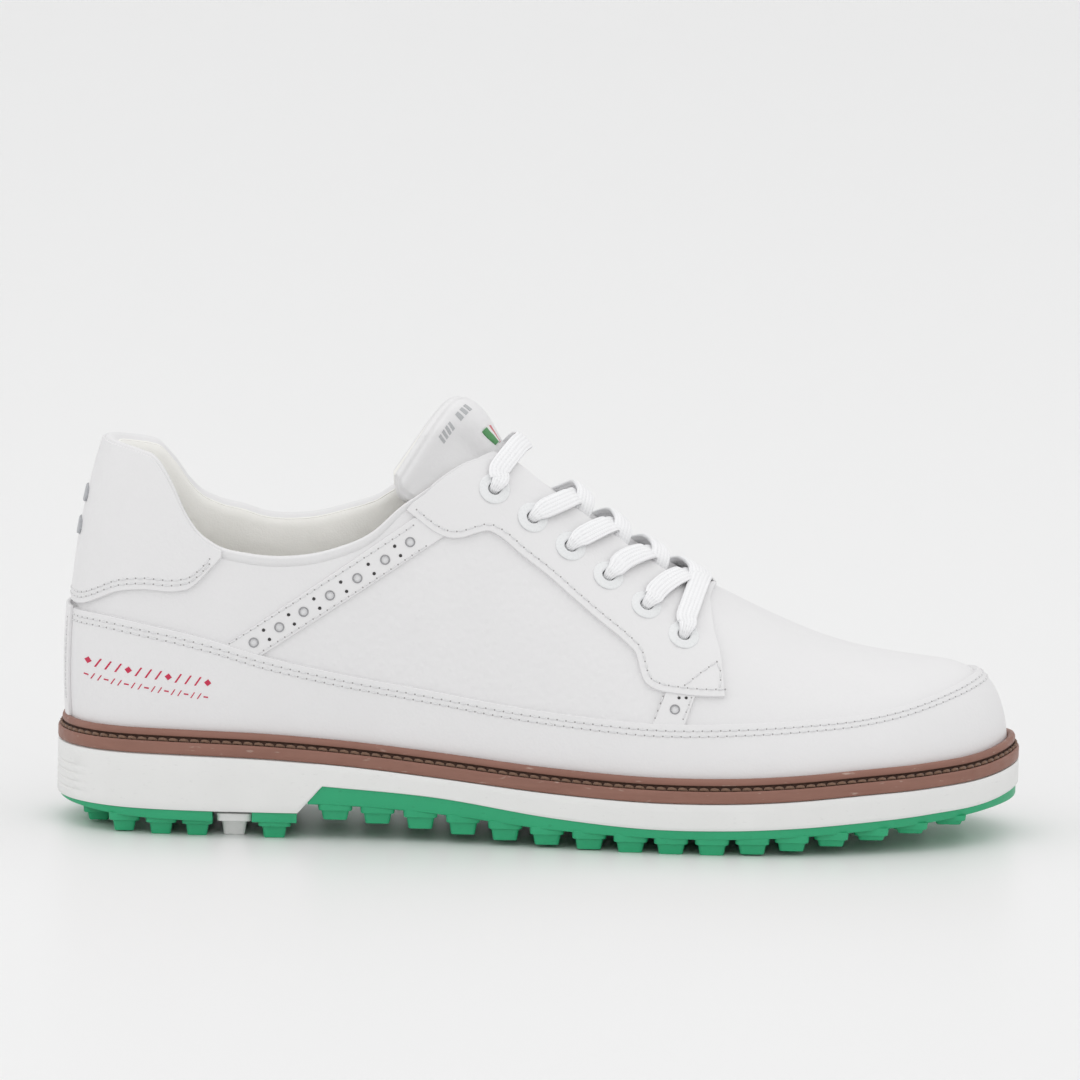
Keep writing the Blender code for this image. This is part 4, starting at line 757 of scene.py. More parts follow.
def grid_faces(rows, columns, closed_rows=False, closed_columns=True):
    faces = []
    for i in range(rows if closed_rows else rows - 1):
        for j in range(columns if closed_columns else columns - 1):
            a, b = i * columns + j, i * columns + (j + 1) % columns
            up = (i + 1) % rows * columns - i * columns
            faces.append((a, b, b + up, a + up))
    return faces


def loft(name, rings, finish, closed_rows=False, capped=False, **more):
    """A surface through rings of equal length."""
    rings = np.asarray(rings, float)
    rows, columns = rings.shape[:2]
    faces = grid_faces(rows, columns, closed_rows)
    if capped:
        faces.append(tuple(range(columns))[::-1])
        faces.append(tuple((rows - 1) * columns + j for j in range(columns)))
    return add(name, rings.reshape(-1, 3), faces, finish, **more)


def plate(name, finish, inset, bottom, top, side=(), span=(-200, 200), step=1.5, extra=(), **more):
    """A layer of the sole between heights bottom(x) and top(x); side holds (inset, share of height) rows."""
    angles = side_columns(step, extra)
    x = np.clip(-HALF_LENGTH * np.cos(angles), *span)
    inside = np.arccos(np.clip(-x / HALF_LENGTH, -1, 1))
    angles = np.where(angles < 0, -inside, inside)
    middle = spine(angles)
    middle[:, 0] = np.clip(middle[:, 0], *span)
    half = middle * 0.5 + sole_edge(angles, inset) * 0.5
    rows = [(middle, 0.0), (half, 0.0)]
    for deeper, share in side:
        deeper = deeper(angles) if callable(deeper) else deeper
        rows.append((sole_edge(angles, inset + deeper), share))
    rows += [(half, 1.0), (middle, 1.0)]
    rings = []
    for flat, share in rows:
        flat = np.column_stack([np.clip(flat[:, 0], *span), flat[:, 1]])
        low, high = bottom(flat[:, 0]), top(flat[:, 0])
        rings.append(np.column_stack([flat, low + share * (high - low)]))
    return loft(name, rings, finish, **more)


def patch(name, outline, offsets, finish, holes=(), fine=0.32, bevel=0.35, **more):
    """A patch of the wall between two offsets, with holes. Outlines are arrays of (angle, rise)."""
    outline = densified(chart(*np.transpose(outline)), 5.5 * fine)
    holes = [chart(*np.transpose(hole)) for hole in holes]
    low, high = outline.min(axis=0), outline.max(axis=0)
    step_u, step_v = math.degrees(COLUMN_STEP) * fine, CHART_RISE * ROW_STEP * fine
    u = np.arange(math.floor(low[0] / step_u), math.ceil(high[0] / step_u) + 1) * step_u
    v = np.arange(math.floor(low[1] / step_v), math.ceil(high[1] / step_v) + 1) * step_v
    grid = np.stack(np.meshgrid(u, v), -1).reshape(-1, 2)
    grid = grid[inside_polygon(grid, outline)]
    grid = grid[distance_to(grid, outline) > 1.5 * fine]
    for hole in holes:
        grid = grid[~inside_polygon(grid, hole) & (distance_to(grid, hole) > 0.9 * fine)]
    points, edges = [], []
    for loop in [outline, *holes]:
        n = len(points)
        points += list(loop)
        edges += [(n + k, n + (k + 1) % len(loop)) for k in range(len(loop))]
    points += list(grid)
    found = geometry.delaunay_2d_cdt([Vector(p) for p in points], edges, [], 0, 1e-5)
    flat = np.array([tuple(p) for p in found[0]])
    faces = np.array([tuple(face) for face in found[2]])
    middle = flat[faces].mean(axis=1)
    keep = inside_polygon(middle, outline)
    for hole in holes:
        keep &= ~inside_polygon(middle, hole)
    corners = flat[faces]
    area = np.cross(corners[:, 1] - corners[:, 0], corners[:, 2] - corners[:, 0])
    faces = faces[keep & (np.abs(area) > 1e-4)]
    tip = (flat[:, 1] > RIDGE_RISE * CHART_RISE) & (np.abs(flat[:, 0] - 180) < 6.5)
    flat[tip, 0] = 180.0
    return shell(name, np.radians(flat[:, 0]), flat[:, 1] / CHART_RISE, faces, offsets, finish, bevel, **more)


def shell(name, angle, rise, faces, offsets, finish, bevel, **more):
    """The solid between two offsets of the wall over the given triangles."""
    layers = []
    for offset in offsets:
        depth = offset(angle, rise) if callable(offset) else np.full(len(angle), offset)
        layers.append(wall(angle, rise, depth))
    n = len(angle)
    uses, same, ridge = {}, np.arange(n), {}
    for i in np.flatnonzero(rise > RIDGE_RISE):
        key = round(abs(float(np.degrees(wrapped(angle[i])))), 2)
        same[i] = ridge.setdefault(key, i)
    for a, b, c in faces:
        for edge in ((a, b), (b, c), (c, a)):
            key = tuple(sorted((int(same[edge[0]]), int(same[edge[1]]))))
            if key[0] != key[1]:
                uses[key] = None if key in uses else edge
    made = [(a, b, c) for a, b, c in faces] + [(c + n, b + n, a + n) for a, b, c in faces]
    for edge in uses.values():
        if edge is not None:
            a, b = edge
            made.append((b, a, a + n, b + n))
    return add(name, np.concatenate(layers), made, finish, bevel=bevel, **more)


# ---- Finishes ----


BLENDER_WAVE = 20  # radians of a wave texture to one unit of its vector


class Finish:
    """A Principled material of nodes. Sizes are in millimetres, measured on the object."""

    def __init__(self, name, **sockets):
        self.made = bpy.data.materials.new(name)
        self.made.use_nodes = True
        self.nodes, self.links = self.made.node_tree.nodes, self.made.node_tree.links
        self.shader = self.nodes["Principled BSDF"]
        for socket, value in sockets.items():
            self.shader.inputs[socket.replace("_", " ")].default_value = value
        coordinates = self.nodes.new("ShaderNodeTexCoord")
        self.object, self.uv = coordinates.outputs["Object"], coordinates.outputs["UV"]
        self.last_bump = None

    def placed(self, size, stretch=(1, 1, 1)):
        mapping = self.nodes.new("ShaderNodeMapping")
        mapping.inputs["Scale"].default_value = [s / (size * MM) for s in stretch]
        self.links.new(self.object, mapping.inputs["Vector"])
        return mapping.outputs["Vector"]

    def noise(self, size, detail=3.0, stretch=(1, 1, 1), distortion=0.0):
        texture = self.nodes.new("ShaderNodeTexNoise")
        texture.inputs["Scale"].default_value = 1.0
        texture.inputs["Detail"].default_value = detail
        texture.inputs["Distortion"].default_value = distortion
        self.links.new(self.placed(size, stretch), texture.inputs["Vector"])
        return texture.outputs["Fac"]

    def cells(self, size, feature="F1"):
        texture = self.nodes.new("ShaderNodeTexVoronoi")
        texture.feature = feature
        texture.inputs["Scale"].default_value = 1.0
        self.links.new(self.placed(size), texture.inputs["Vector"])
        return texture.outputs["Distance"]

    def wave(self, size):
        """Bands across X, each size wide."""
        texture = self.nodes.new("ShaderNodeTexWave")
        texture.inputs["Scale"].default_value = 1.0
        texture.inputs["Distortion"].default_value = 0.0
        self.links.new(self.placed(size * BLENDER_WAVE / (2 * math.pi)), texture.inputs["Vector"])
        return texture.outputs["Fac"]

    def between(self, value, low, high, to_low=0.0, to_high=1.0):
        spread = self.nodes.new("ShaderNodeMapRange")
        for socket, number in zip(("From Min", "From Max", "To Min", "To Max"), (low, high, to_low, to_high)):
            spread.inputs[socket].default_value = number
        self.links.new(value, spread.inputs["Value"])
        return spread.outputs["Result"]

    def math(self, operation, first, second):
        node = self.nodes.new("ShaderNodeMath")
        node.operation = operation
        for socket, value in zip(node.inputs, (first, second)):
            if isinstance(value, (int, float)):
                socket.default_value = value
            else:
                self.links.new(value, socket)
        return node.outputs["Value"]

    def blend(self, value, first, second):
        """A colour between two, each a tuple or another blend."""
        mix = self.nodes.new("ShaderNodeMix")
        mix.data_type = "RGBA"
        self.links.new(value, mix.inputs["Factor"])
        for socket, colour in ((mix.inputs[6], first), (mix.inputs[7], second)):
            if isinstance(colour, tuple):
                socket.default_value = (*colour, 1.0)
            else:
                self.links.new(colour, socket)
        return mix.outputs[2]

    def colour(self, blended):
        self.links.new(blended, self.shader.inputs["Base Color"])
        return self

    def rough(self, value, low, high):
        self.links.new(self.between(value, 0.3, 0.7, low, high), self.shader.inputs["Roughness"])
        return self

    def bump(self, height, depth):
        """Raises the surface by up to depth where height is 1."""
        bump = self.nodes.new("ShaderNodeBump")
        bump.inputs["Distance"].default_value = depth * MM
        self.links.new(height, bump.inputs["Height"])
        if self.last_bump:
            self.links.new(self.last_bump, bump.inputs["Normal"])
        self.last_bump = bump.outputs["Normal"]
        self.links.new(self.last_bump, self.shader.inputs["Normal"])
        return self


def leather(name, light=(0.80, 0.795, 0.80), dark=(0.755, 0.75, 0.755), tumbled=False):
    made = Finish(name, Coat_Weight=0.06, Coat_Roughness=0.35, Specular_IOR_Level=0.42)
    pebbles = made.cells(1.9 if tumbled else 0.75, "SMOOTH_F1")
    mottle = made.noise(22, 4)
    made.colour(made.blend(made.between(pebbles, 0.25, 0.75), made.blend(mottle, dark, light),
                           tuple(0.965 * c for c in light)))
    made.rough(made.noise(5), 0.40, 0.54)
    made.bump(made.noise(17, 3, distortion=0.8), 0.22)
    made.bump(made.between(pebbles, 0.0, 0.8, 1.0, 0.0), 0.16 if tumbled else 0.03)
    return made.bump(made.noise(0.4), 0.012).made


def lining(name):
    made = Finish(name, Sheen_Weight=0.25, Sheen_Roughness=0.6, Specular_IOR_Level=0.25)
    made.colour(made.blend(made.noise(9, 4), (0.88, 0.87, 0.835), (0.92, 0.91, 0.88)))
    made.rough(made.noise(2), 0.72, 0.88)
    made.bump(made.noise(11, 2, distortion=0.5), 0.3)
    made.bump(made.cells(0.55), 0.05)
    return made.bump(made.noise(0.25), 0.02).made


def rubber(name, light, dark, roughness=(0.45, 0.6), scuff=0.0):
    made = Finish(name, Specular_IOR_Level=0.4)
    base = made.blend(made.noise(14, 5), dark, light)
    marks = made.between(made.noise(2.2, 5, (1, 1, 2.5)), 0.62, 0.8)
    made.colour(made.blend(marks, base, tuple(c * (1 - scuff) for c in dark)))
    made.rough(made.noise(3), *roughness)
    made.bump(made.noise(6, 2), 0.06)
    return made.bump(made.noise(0.35, 2), 0.018).made


def welt_brown(name):
    made = Finish(name, Coat_Weight=0.12, Coat_Roughness=0.4)
    streaks = made.noise(3.0, 4, (0.12, 0.3, 1.0), 0.4)
    base = made.blend(streaks, (0.205, 0.088, 0.060), (0.295, 0.140, 0.102))
    scuffs = made.between(made.noise(1.6, 5, (0.35, 0.5, 1.4)), 0.66, 0.78)
    made.colour(made.blend(scuffs, base, (0.42, 0.29, 0.24)))
    made.rough(made.noise(2.5), 0.42, 0.62)
    made.bump(streaks, 0.07)
    return made.bump(made.noise(0.3), 0.02).made


def thread(name, light, dark):
    made = Finish(name, Sheen_Weight=0.2, Specular_IOR_Level=0.3)
    made.colour(made.blend(made.noise(0.5), dark, light))
    made.rough(made.noise(0.7), 0.65, 0.85)
    return made.bump(made.noise(0.22, 2, (1, 1, 2)), 0.05).made


def lace_cotton(name):
    """Ribs along the lace and the slant of its braid; its UV map holds millimetres across and along."""
    made = Finish(name, Sheen_Weight=0.3, Sheen_Roughness=0.5, Specular_IOR_Level=0.25)
    split = made.nodes.new("ShaderNodeSeparateXYZ")
    made.links.new(made.uv, split.inputs["Vector"])
    across, along = split.outputs["X"], split.outputs["Y"]
    zigzag = made.math("PINGPONG", across, 0.6)
    braid = made.math("SINE", made.math("MULTIPLY", made.math("ADD", along, zigzag), 2 * math.pi / 1.1), 0)
    rib = made.math("ABSOLUTE", made.math("SINE", made.math("MULTIPLY", across, math.pi / 1.2), 0), 0)
    height = made.math("ADD", made.math("MULTIPLY", made.between(braid, -1, 1), 0.45), rib)
    # The colour follows the relief: darker in the braid's hollows and lighter on its crowns, painted shade
    # and highlight.
    made.colour(made.blend(made.between(height, 0.1, 1.2), (0.84, 0.84, 0.85), (0.91, 0.91, 0.92)))
    made.rough(made.noise(1.2), 0.75, 0.9)
    made.bump(made.between(height, 0, 1.45), 0.16)
    return made.bump(made.noise(0.3), 0.04).made


def enamel(name):
    made = Finish(name, Coat_Weight=0.3, Coat_Roughness=0.15)
    made.colour(made.blend(made.noise(3), (0.76, 0.77, 0.775), (0.80, 0.81, 0.815)))
    made.rough(made.noise(0.9), 0.22, 0.36)
    return made.bump(made.noise(0.8), 0.012).made


def plain_fibre(name, light, dark, size, depth, roughness=(0.7, 0.9)):
    made = Finish(name, Specular_IOR_Level=0.3)
    made.colour(made.blend(made.cells(size), dark, light))
    made.rough(made.noise(size), *roughness)
    return made.bump(made.noise(size * 0.7, 4), depth).made


def steel_strip(name):
    made = Finish(name, Metallic=1.0)
    made.colour(made.blend(made.noise(5), (0.50, 0.50, 0.52), (0.62, 0.62, 0.64)))
    made.rough(made.noise(1.0, 3, (0.1, 1, 1)), 0.3, 0.45)
    return made.bump(made.noise(0.5, 2, (0.05, 1, 1)), 0.01).made


def woven_label(name):
    """Weft threads, with a green band and a thin rose one across the label's own axes."""
    made = Finish(name, Sheen_Weight=0.2, Specular_IOR_Level=0.25)
    split = made.nodes.new("ShaderNodeSeparateXYZ")
    made.links.new(made.uv, split.inputs["Vector"])
    along = split.outputs["Y"]
    green = made.math("LESS_THAN", along, 0.45)
    rose = made.math("GREATER_THAN", along, 0.74)
    threads = made.wave(0.28)
    # The ground is darker between the threads and lighter on them, following their relief: painted shade and
    # highlight.
    ground = made.blend(threads, (0.74, 0.74, 0.73), (0.84, 0.84, 0.83))
    base = made.blend(green, ground, (0.10, 0.30, 0.12))
    made.colour(made.blend(rose, base, (0.62, 0.17, 0.19)))
    made.rough(made.noise(0.6), 0.7, 0.85)
    return made.bump(threads, 0.06).made


WHITE = leather("white_leather_look")
TUMBLED = leather("tumbled_leather_look", tumbled=True)
LINING_LOOK = lining("lining_look")
FOOTBED_LOOK = lining("footbed_leather_look")
WHITE_RUBBER = rubber("white_rubber_look", (0.80, 0.80, 0.79), (0.75, 0.75, 0.74), scuff=0.06)
GREENS = (0.030, 0.41, 0.19), (0.022, 0.34, 0.155)
GREEN_RUBBER = rubber("green_rubber_look", *GREENS, (0.38, 0.52), scuff=0.15)
WELT_LOOK = welt_brown("welt_look")
# The groove's faces are painted a near-black brown: painted shade under the welt's rib.
WELT_GROOVE_SHADE = plain_fibre("welt_groove_shade_look", (0.085, 0.042, 0.028), (0.045, 0.022, 0.015), 1.2, 0.08)
WELT_THREAD = thread("welt_thread_look", (0.25, 0.15, 0.10), (0.13, 0.07, 0.045))
THREAD = thread("white_thread_look", (0.80, 0.80, 0.80), (0.68, 0.68, 0.69))
# Dark grey discs at the stitches' ends: painted shade standing for the needle holes.
NEEDLE_HOLE_SHADE = plain_fibre("needle_hole_shade_look", (0.40, 0.39, 0.39), (0.32, 0.31, 0.31), 0.3, 0.02)
# Near-black discs down in the small punched holes: painted shade.
PUNCHED_SHADE = plain_fibre("punched_hole_shade_look", (0.10, 0.095, 0.095), (0.05, 0.05, 0.05), 0.4, 0.02)
PUNCHED_PALE = plain_fibre("backing_look", (0.84, 0.84, 0.85), (0.78, 0.78, 0.79), 0.4, 0.02)
RING_GREY = plain_fibre("ring_look", (0.36, 0.36, 0.37), (0.30, 0.30, 0.31), 0.5, 0.01, (0.35, 0.5))
LACE_LOOK = lace_cotton("lace_look")
ENAMEL = enamel("enamel_look")
RED_PRINT = plain_fibre("red_print_look", (0.60, 0.035, 0.09), (0.50, 0.03, 0.075), 0.5, 0.01, (0.4, 0.55))
GREY_PRINT = plain_fibre("grey_print_look", (0.50, 0.51, 0.52), (0.42, 0.43, 0.44), 0.5, 0.01, (0.4, 0.55))
GREY_MARK = plain_fibre("grey_mark_look", (0.46, 0.47, 0.49), (0.38, 0.39, 0.41), 0.7, 0.015, (0.35, 0.5))


# ---- Sewing and punching ----


def over_wall(angle, rise, spacing):
    """Points evenly spaced over the wall along a line of (angle, rise), as (angle, rise) arrays."""
    points = section(angle, rise)
    run = run_along(points)
    places = np.linspace(0, run[-1], max(2, round(run[-1] / spacing)) + 1)
    return np.interp(places, run, angle), np.interp(places, run, rise)


def disc(centre, normal, ahead, radius, corners=8):
    across = np.cross(normal, ahead)
    turns = 2 * math.pi * np.arange(corners) / corners
    return centre + radius * (np.cos(turns)[:, None] * ahead + np.sin(turns)[:, None] * across)


def round_axes(normal):
    """(ahead, across) in the wall's plane, for a round thing that lies on it."""
    across = np.cross(normal, (1.0, 0.0, 0.0))
    across /= np.linalg.norm(across)
    return np.cross(across, normal), across


STITCH_SIDES = 6
# Its rings, as (share of the length, height and radius in thread radii).
STITCH_PROFILE = ((0.10, -0.9, 0.5), (0.2, 0.05, 0.9), (0.5, 0.55, 1.0), (0.8, 0.05, 0.9), (0.9, -0.9, 0.5))


def stitch_shape(start, end, normal, radius):
    """(points, faces) of one stitch, a short thread that dips into the leather at both ends."""
    along = end - start
    length = np.linalg.norm(along)
    along = along / length
    across = np.cross(normal, along)
    rings = []
    for share, height, scale in STITCH_PROFILE:
        centre = start + share * length * along + height * radius * normal
        turns = 2 * math.pi * np.arange(STITCH_SIDES) / STITCH_SIDES
        round_it = np.cos(turns)[:, None] * across + np.sin(turns)[:, None] * normal
        rings.append(centre + scale * radius * round_it)
    first, last = range(STITCH_SIDES), range((len(rings) - 1) * STITCH_SIDES, len(rings) * STITCH_SIDES)
    return np.concatenate(rings), grid_faces(len(rings), STITCH_SIDES) + [tuple(first)[::-1], tuple(last)]


def sewn(name, lines, offset, spacing=2.8, radius=0.30, hole=0.27):
    """Rows of stitches over the wall, with a small dark disc of painted shade at each needle hole. lines
    holds (angle array, rise array).
    """
    pieces, kinds = [], []
    for angle, rise in lines:
        angle, rise = over_wall(angle, rise, spacing)
        base, normals = wall(angle, rise, np.full(len(angle), offset)), wall_normal(angle, rise)
        for k in range(len(base) - 1):
            normal = normals[k] + normals[k + 1]
            normal /= np.linalg.norm(normal)
            pieces.append(stitch_shape(base[k], base[k + 1], normal, radius))
            kinds += [0] * len(pieces[-1][1])
        # A small dark disc at each stitch's end is painted shade standing for its needle hole.
        for k in range(len(base)):
            ahead = base[min(k + 1, len(base) - 1)] - base[max(k - 1, 0)]
            ahead /= np.linalg.norm(ahead)
            rings = [disc(base[k] + high * normals[k], normals[k], ahead, hole) for high in (0.05, -0.2)]
            pieces.append((np.concatenate(rings), prism_faces(len(rings[0]))))
            kinds += [1] * len(pieces[-1][1])
    return plain_mesh(name, *joined(pieces), [THREAD, NEEDLE_HOLE_SHADE], kinds=kinds)


def lowered(angle, rise, by):
    """The line by millimetres further down the wall."""
    slope = np.linalg.norm(section(angle, rise + 1e-3) - section(angle, rise - 1e-3), axis=-1) / 2e-3
    return angle, rise - by / slope


def smooth_line(points, spacing=1.0):
    """A smooth line through points of the side view, evenly spaced."""
    points = np.array(points, float)
    run = run_along(points)
    places = np.linspace(0, run[-1], max(2, math.ceil(run[-1] / spacing)) + 1)
    return np.column_stack([curve_through(np.column_stack([run, points[:, k]]))(places) for k in (0, 1)])


def inset_line(points, by):
    """The line moved by millimetres to its left."""
    along = np.gradient(points, axis=0)
    along /= np.linalg.norm(along, axis=1, keepdims=True)
    return points + by * np.column_stack([-along[:, 1], along[:, 0]])


def on_side(points, side):
    return locate(points[:, 0], points[:, 1], side)


def rings_at(name, places, ring_radius, tube, offset, finish):
    """Small raised rings round punched holes; places holds (angle, rise)."""
    rings = []
    for angle, rise in places:
        centre, normal = wall(angle, rise, offset), wall_normal(angle, rise)
        ahead, across = round_axes(normal)
        points = []
        for turn in 2 * math.pi * np.arange(20) / 20:
            out = math.cos(turn) * ahead + math.sin(turn) * across
            for tilt in 2 * math.pi * np.arange(6) / 6:
                reach, high = ring_radius + tube * math.cos(tilt), tube * math.sin(tilt)
                points.append(centre + reach * out + high * normal)
        rings.append((points, grid_faces(20, 6, closed_rows=True)))
    return add(name, *joined(rings), finish)


def discs_at(name, places, radius, offset, finish, thick=0.3):
    """Small flat discs, whose outer faces lie at an offset of the wall."""
    discs = []
    for angle, rise in places:
        centre, normal = wall(angle, rise, offset), wall_normal(angle, rise)
        ahead, _ = round_axes(normal)
        rings = [disc(centre - deep * normal, normal, ahead, radius, 12) for deep in (0, thick)]
        discs.append((np.concatenate(rings), prism_faces(12)))
    return add(name, *joined(discs), finish)


# ---- The shoe ----



def heel_breast(x):
    """The height of the midsole's underside: level over the heel, and stepping up in front of it."""
    share = np.clip((x - BREAST_BACK) / (BREAST_FRONT - BREAST_BACK), 0, 1)
    step = HEEL_TOP + (fore_bottom(BREAST_FRONT) - HEEL_TOP) * share
    return np.where(x < BREAST_FRONT, step, fore_bottom(x))


def heel_ridges(depth):
    """Grooves round the back of the heel, fading out along its sides."""
    return lambda angles: depth * np.clip((math.radians(21) - np.abs(angles)) / 0.10, 0, 1)


def make_midsole():
    """The white midsole with ridges round its heel, and the white bars between the heel's blocks."""
    side = [(1.0, 0.0), (0.25, 0.01), (0.0, 0.05)]
    groove = heel_ridges(0.3)
    for k in range(4):
        share = 0.16 + 0.15 * k
        side += [(0.0, share), (groove, share + 0.018), (groove, share + 0.04), (0.0, share + 0.058)]
    side += [(0.0, 0.93), (0.15, 0.98), (0.9, 1.0)]
    midsole = plate("midsole_look", WHITE_RUBBER, 0.0, heel_breast, midsole_top, side,
                    extra=(BREAST_BACK, BREAST_FRONT))
    stands_for(midsole, "white_rubber", "midsole")
    top = HEEL_TOP - 1.6
    bars = [lug(BAR_X, (low + high) / 2, top, 0.0, BAR_LENGTH, high - low, 0.74) for low, high in BARS]
    stands_for(add("midsole_bars_look", *joined(bars), WHITE_RUBBER, bevel=0.3), "white_rubber")


def rounded_box(x, y, z, length, width, corner=0.14, arc=3):
    """A rounded rectangle's ring at height z."""
    ring = []
    radius = corner * min(length, width)
    for quarter in range(4):
        turn = math.pi / 2 * quarter
        cx = (length / 2 - radius) * (1 if quarter in (0, 3) else -1)
        cy = (width / 2 - radius) * (1 if quarter in (0, 1) else -1)
        for k in range(arc):
            a = turn + math.pi / 2 * k / (arc - 1)
            ring.append((x + cx + radius * math.cos(a), y + cy + radius * math.sin(a), z))
    return ring


def lug(x, y, top, bottom, length=10.4, width=9.6, block=0.76):
    """A stepped lug: a wide base under the plate and a narrower block that tapers down."""
    base = max(top - 1.7, bottom + 1.4)
    rings = [rounded_box(x, y, bottom, length * (block - 0.13), width * (block - 0.13)),
             rounded_box(x, y, base, length * block, width * block),
             rounded_box(x, y, base, length * 0.99, width * 0.99),
             rounded_box(x, y, top + 0.8, length * 1.04, width * 1.04)]
    n = len(rings[0])
    points = [p for ring in rings for p in ring]
    faces = grid_faces(len(rings), n) + [tuple(range(n))[::-1], tuple(3 * n + i for i in range(n))]
    return points, faces


def lugs(name, places, finish):
    """places holds what lug takes."""
    return add(name, *joined(lug(*place) for place in places), finish, bevel=0.22)


def make_outsole():
    """The green rubber: the forefoot's plate, the heel's two blocks and all their lugs."""
    edge = [(0.8, 0.0), (0.2, 0.06), (0.0, 0.2), (0.0, 1.0)]
    # Its back end runs down the midsole's slope to a thin edge.
    slope = np.linspace(BREAST_BACK, BREAST_FRONT, 60)
    back = float(np.interp(0.7, heel_breast(slope) - fore_plate_bottom(slope), slope))
    fore = plate("outsole_forefoot_look", GREEN_RUBBER, 0.8, fore_plate_bottom, shifted(heel_breast, -0.05),
                 edge, span=(back, 200), extra=(BREAST_FRONT,))
    stands_for(fore, "green_rubber", "outsole_forefoot")
    places = [(x, y, float(fore_plate_bottom(x)), max(float(lug_bottom(x)), 0.0), *FORE_LUG)
              for x, y in lug_places()]
    stands_for(lugs("forefoot_lugs_look", places, GREEN_RUBBER), "green_rubber")
    under_heel = level_height(HEEL_TOP - 0.05)
    rear = plate("outsole_heel_rear_look", GREEN_RUBBER, 1.0, heel_plate_bottom, under_heel, edge,
                 span=(-200, -100.2))
    stands_for(rear, "green_rubber", "outsole_heel_rear")
    places = []
    for x, lift in HEEL_LUGS:
        reach = abs(float(sole_edge(side_angle(x, MEDIAL))[1]))
        row = (-reach + 6.5, reach - 6.5) if x > -135 else (-12.0, 0.0, 12.0)
        if x > -125:
            row += (-13.0, 0.0, 13.0)
        places += [(x, y, LUG_ROOT, lift, *HEEL_LUG) for y in row]
    stands_for(lugs("heel_lugs_look", places, GREEN_RUBBER), "green_rubber")
    front = plate("outsole_heel_front_look", GREEN_RUBBER, 1.0, level_height(5.0), under_heel, edge,
                  span=(-88.0, BREAST_BACK - 0.2))
    stands_for(front, "green_rubber", "outsole_heel_front")
    places = [(BREAST_LUG_X, y, LUG_ROOT, 0.0, *BREAST_LUG) for y in (-31.0, -15.5, 0.0, 15.5, 31.0)]
    stands_for(lugs("heel_front_lugs_look", places, GREEN_RUBBER), "green_rubber")


WELT_PROFILE = [(4.0, 0.1), (0.5, 0.1), (0.08, 0.3), (0.0, 0.8), (0.0, 3.3), (0.1, 3.75), (0.35, 3.98),
                (0.65, 3.95), (0.95, 3.85), (1.3, 4.1), (1.8, 4.6), (1.9, 5.2), (1.55, 5.35), (1.3, 5.65),
                (1.25, 6.3), (1.3, 6.9), (1.6, 7.45), (2.2, 7.7), (3.0, 7.5), (3.7, 6.9)]
# These rows take the dark groove finish, which is painted shade.
WELT_SHADED_ROWS = range(8, 13)  # the rows of the profile that lie in the stitched groove


WELT_SEAM = (1.05, 4.45)  # inset and height of the line of stitches in the groove
WELT_STITCH = 3.3


def make_welt():
    """The brown welt round the whole sole, and the stitches in its groove."""
    angles = side_columns(1.0)
    rings = []
    for inset, height in WELT_PROFILE:
        flat = sole_edge(angles, inset)
        rings.append(np.column_stack([flat, midsole_top(-HALF_LENGTH * np.cos(angles)) + height]))
    # Faces in the groove take the dark finish: painted shade.
    kinds = [int(row in WELT_SHADED_ROWS) for row in range(len(rings)) for _ in angles]
    welt = loft("welt_look", rings, [WELT_LOOK, WELT_GROOVE_SHADE], closed_rows=True, sharp=60, kinds=kinds)
    stands_for(welt, "brown_welt", "welt")
    angles = np.linspace(-math.pi, math.pi, 1441)
    flat = sole_edge(angles, WELT_SEAM[0])
    line = np.column_stack([flat, midsole_top(-HALF_LENGTH * np.cos(angles)) + WELT_SEAM[1]])
    run = run_along(line)
    places = np.linspace(0, run[-1], round(run[-1] / WELT_STITCH) + 1)
    line = np.column_stack([np.interp(places, run, line[:, k]) for k in range(3)])
    out = sole_outward(np.interp(places, run, angles))
    stitches = []
    for k in range(len(line) - 1):
        normal = np.array([*out[k], 1.1])
        normal /= np.linalg.norm(normal)
        start, end = line[k] - 0.25 * normal, line[k + 1] + 0.1 * normal
        stitches.append(stitch_shape(start, end + 0.12 * (end - start), normal, 0.5))
    points, faces = joined(stitches)
    made = plain_mesh("welt_stitches_look", points, faces, [WELT_THREAD], kinds=[0] * len(faces))
    stands_for(made, "brown_thread", "welt_stitching")


def make_vamp():
    """The front of the upper, and its lining."""
    vamp = patch("vamp_look", front_outline(VAMP_SEAM_X - 6), (-1.2, -0.05), WHITE, fine=0.3)
    stands_for(vamp, "white_leather", "vamp")
    inner = patch("vamp_lining_look", front_outline(VAMP_SEAM_X - 6), LINING, LINING_LOOK, fine=0.6, bevel=0)
    stands_for(inner, "cream_lining", "lining_vamp")


def strip_side(centre):
    """0 above the punched strip's middle, where the leather is smooth, and 1 below it, where it isn't."""
    (x0, z0), (x1, z1) = STRIP_HOLES[0], STRIP_HOLES[-1]
    line = z0 + (centre[0] - x0) * (z1 - z0) / (x1 - x0)
    return int(centre[2] < line and centre[0] > -95)


def eyelet_holes(side, corners):
    return [circle_on_wall(*instep_rise(x, side * d), EYELET_HOLE, corners) for x, d in eyelet_places()]


def make_quarters():
    """The sides of the upper, from the heel to the vamp's seam."""
    seam = float(side_angle(VAMP_SEAM_X, MEDIAL))
    for side, word in SIDES:
        ends = sorted((side * 0.004, side * (seam - 0.003)))
        outline = band(*ends, level(0.0), below_top(0.0), COLUMN_STEP / 3)
        holes = eyelet_holes(side, 14)
        quarter = patch("quarter_%s_look" % word, outline, OUTER, [WHITE, TUMBLED], holes, pick=strip_side)
        stands_for(quarter, "white_leather", "quarter_" + word)


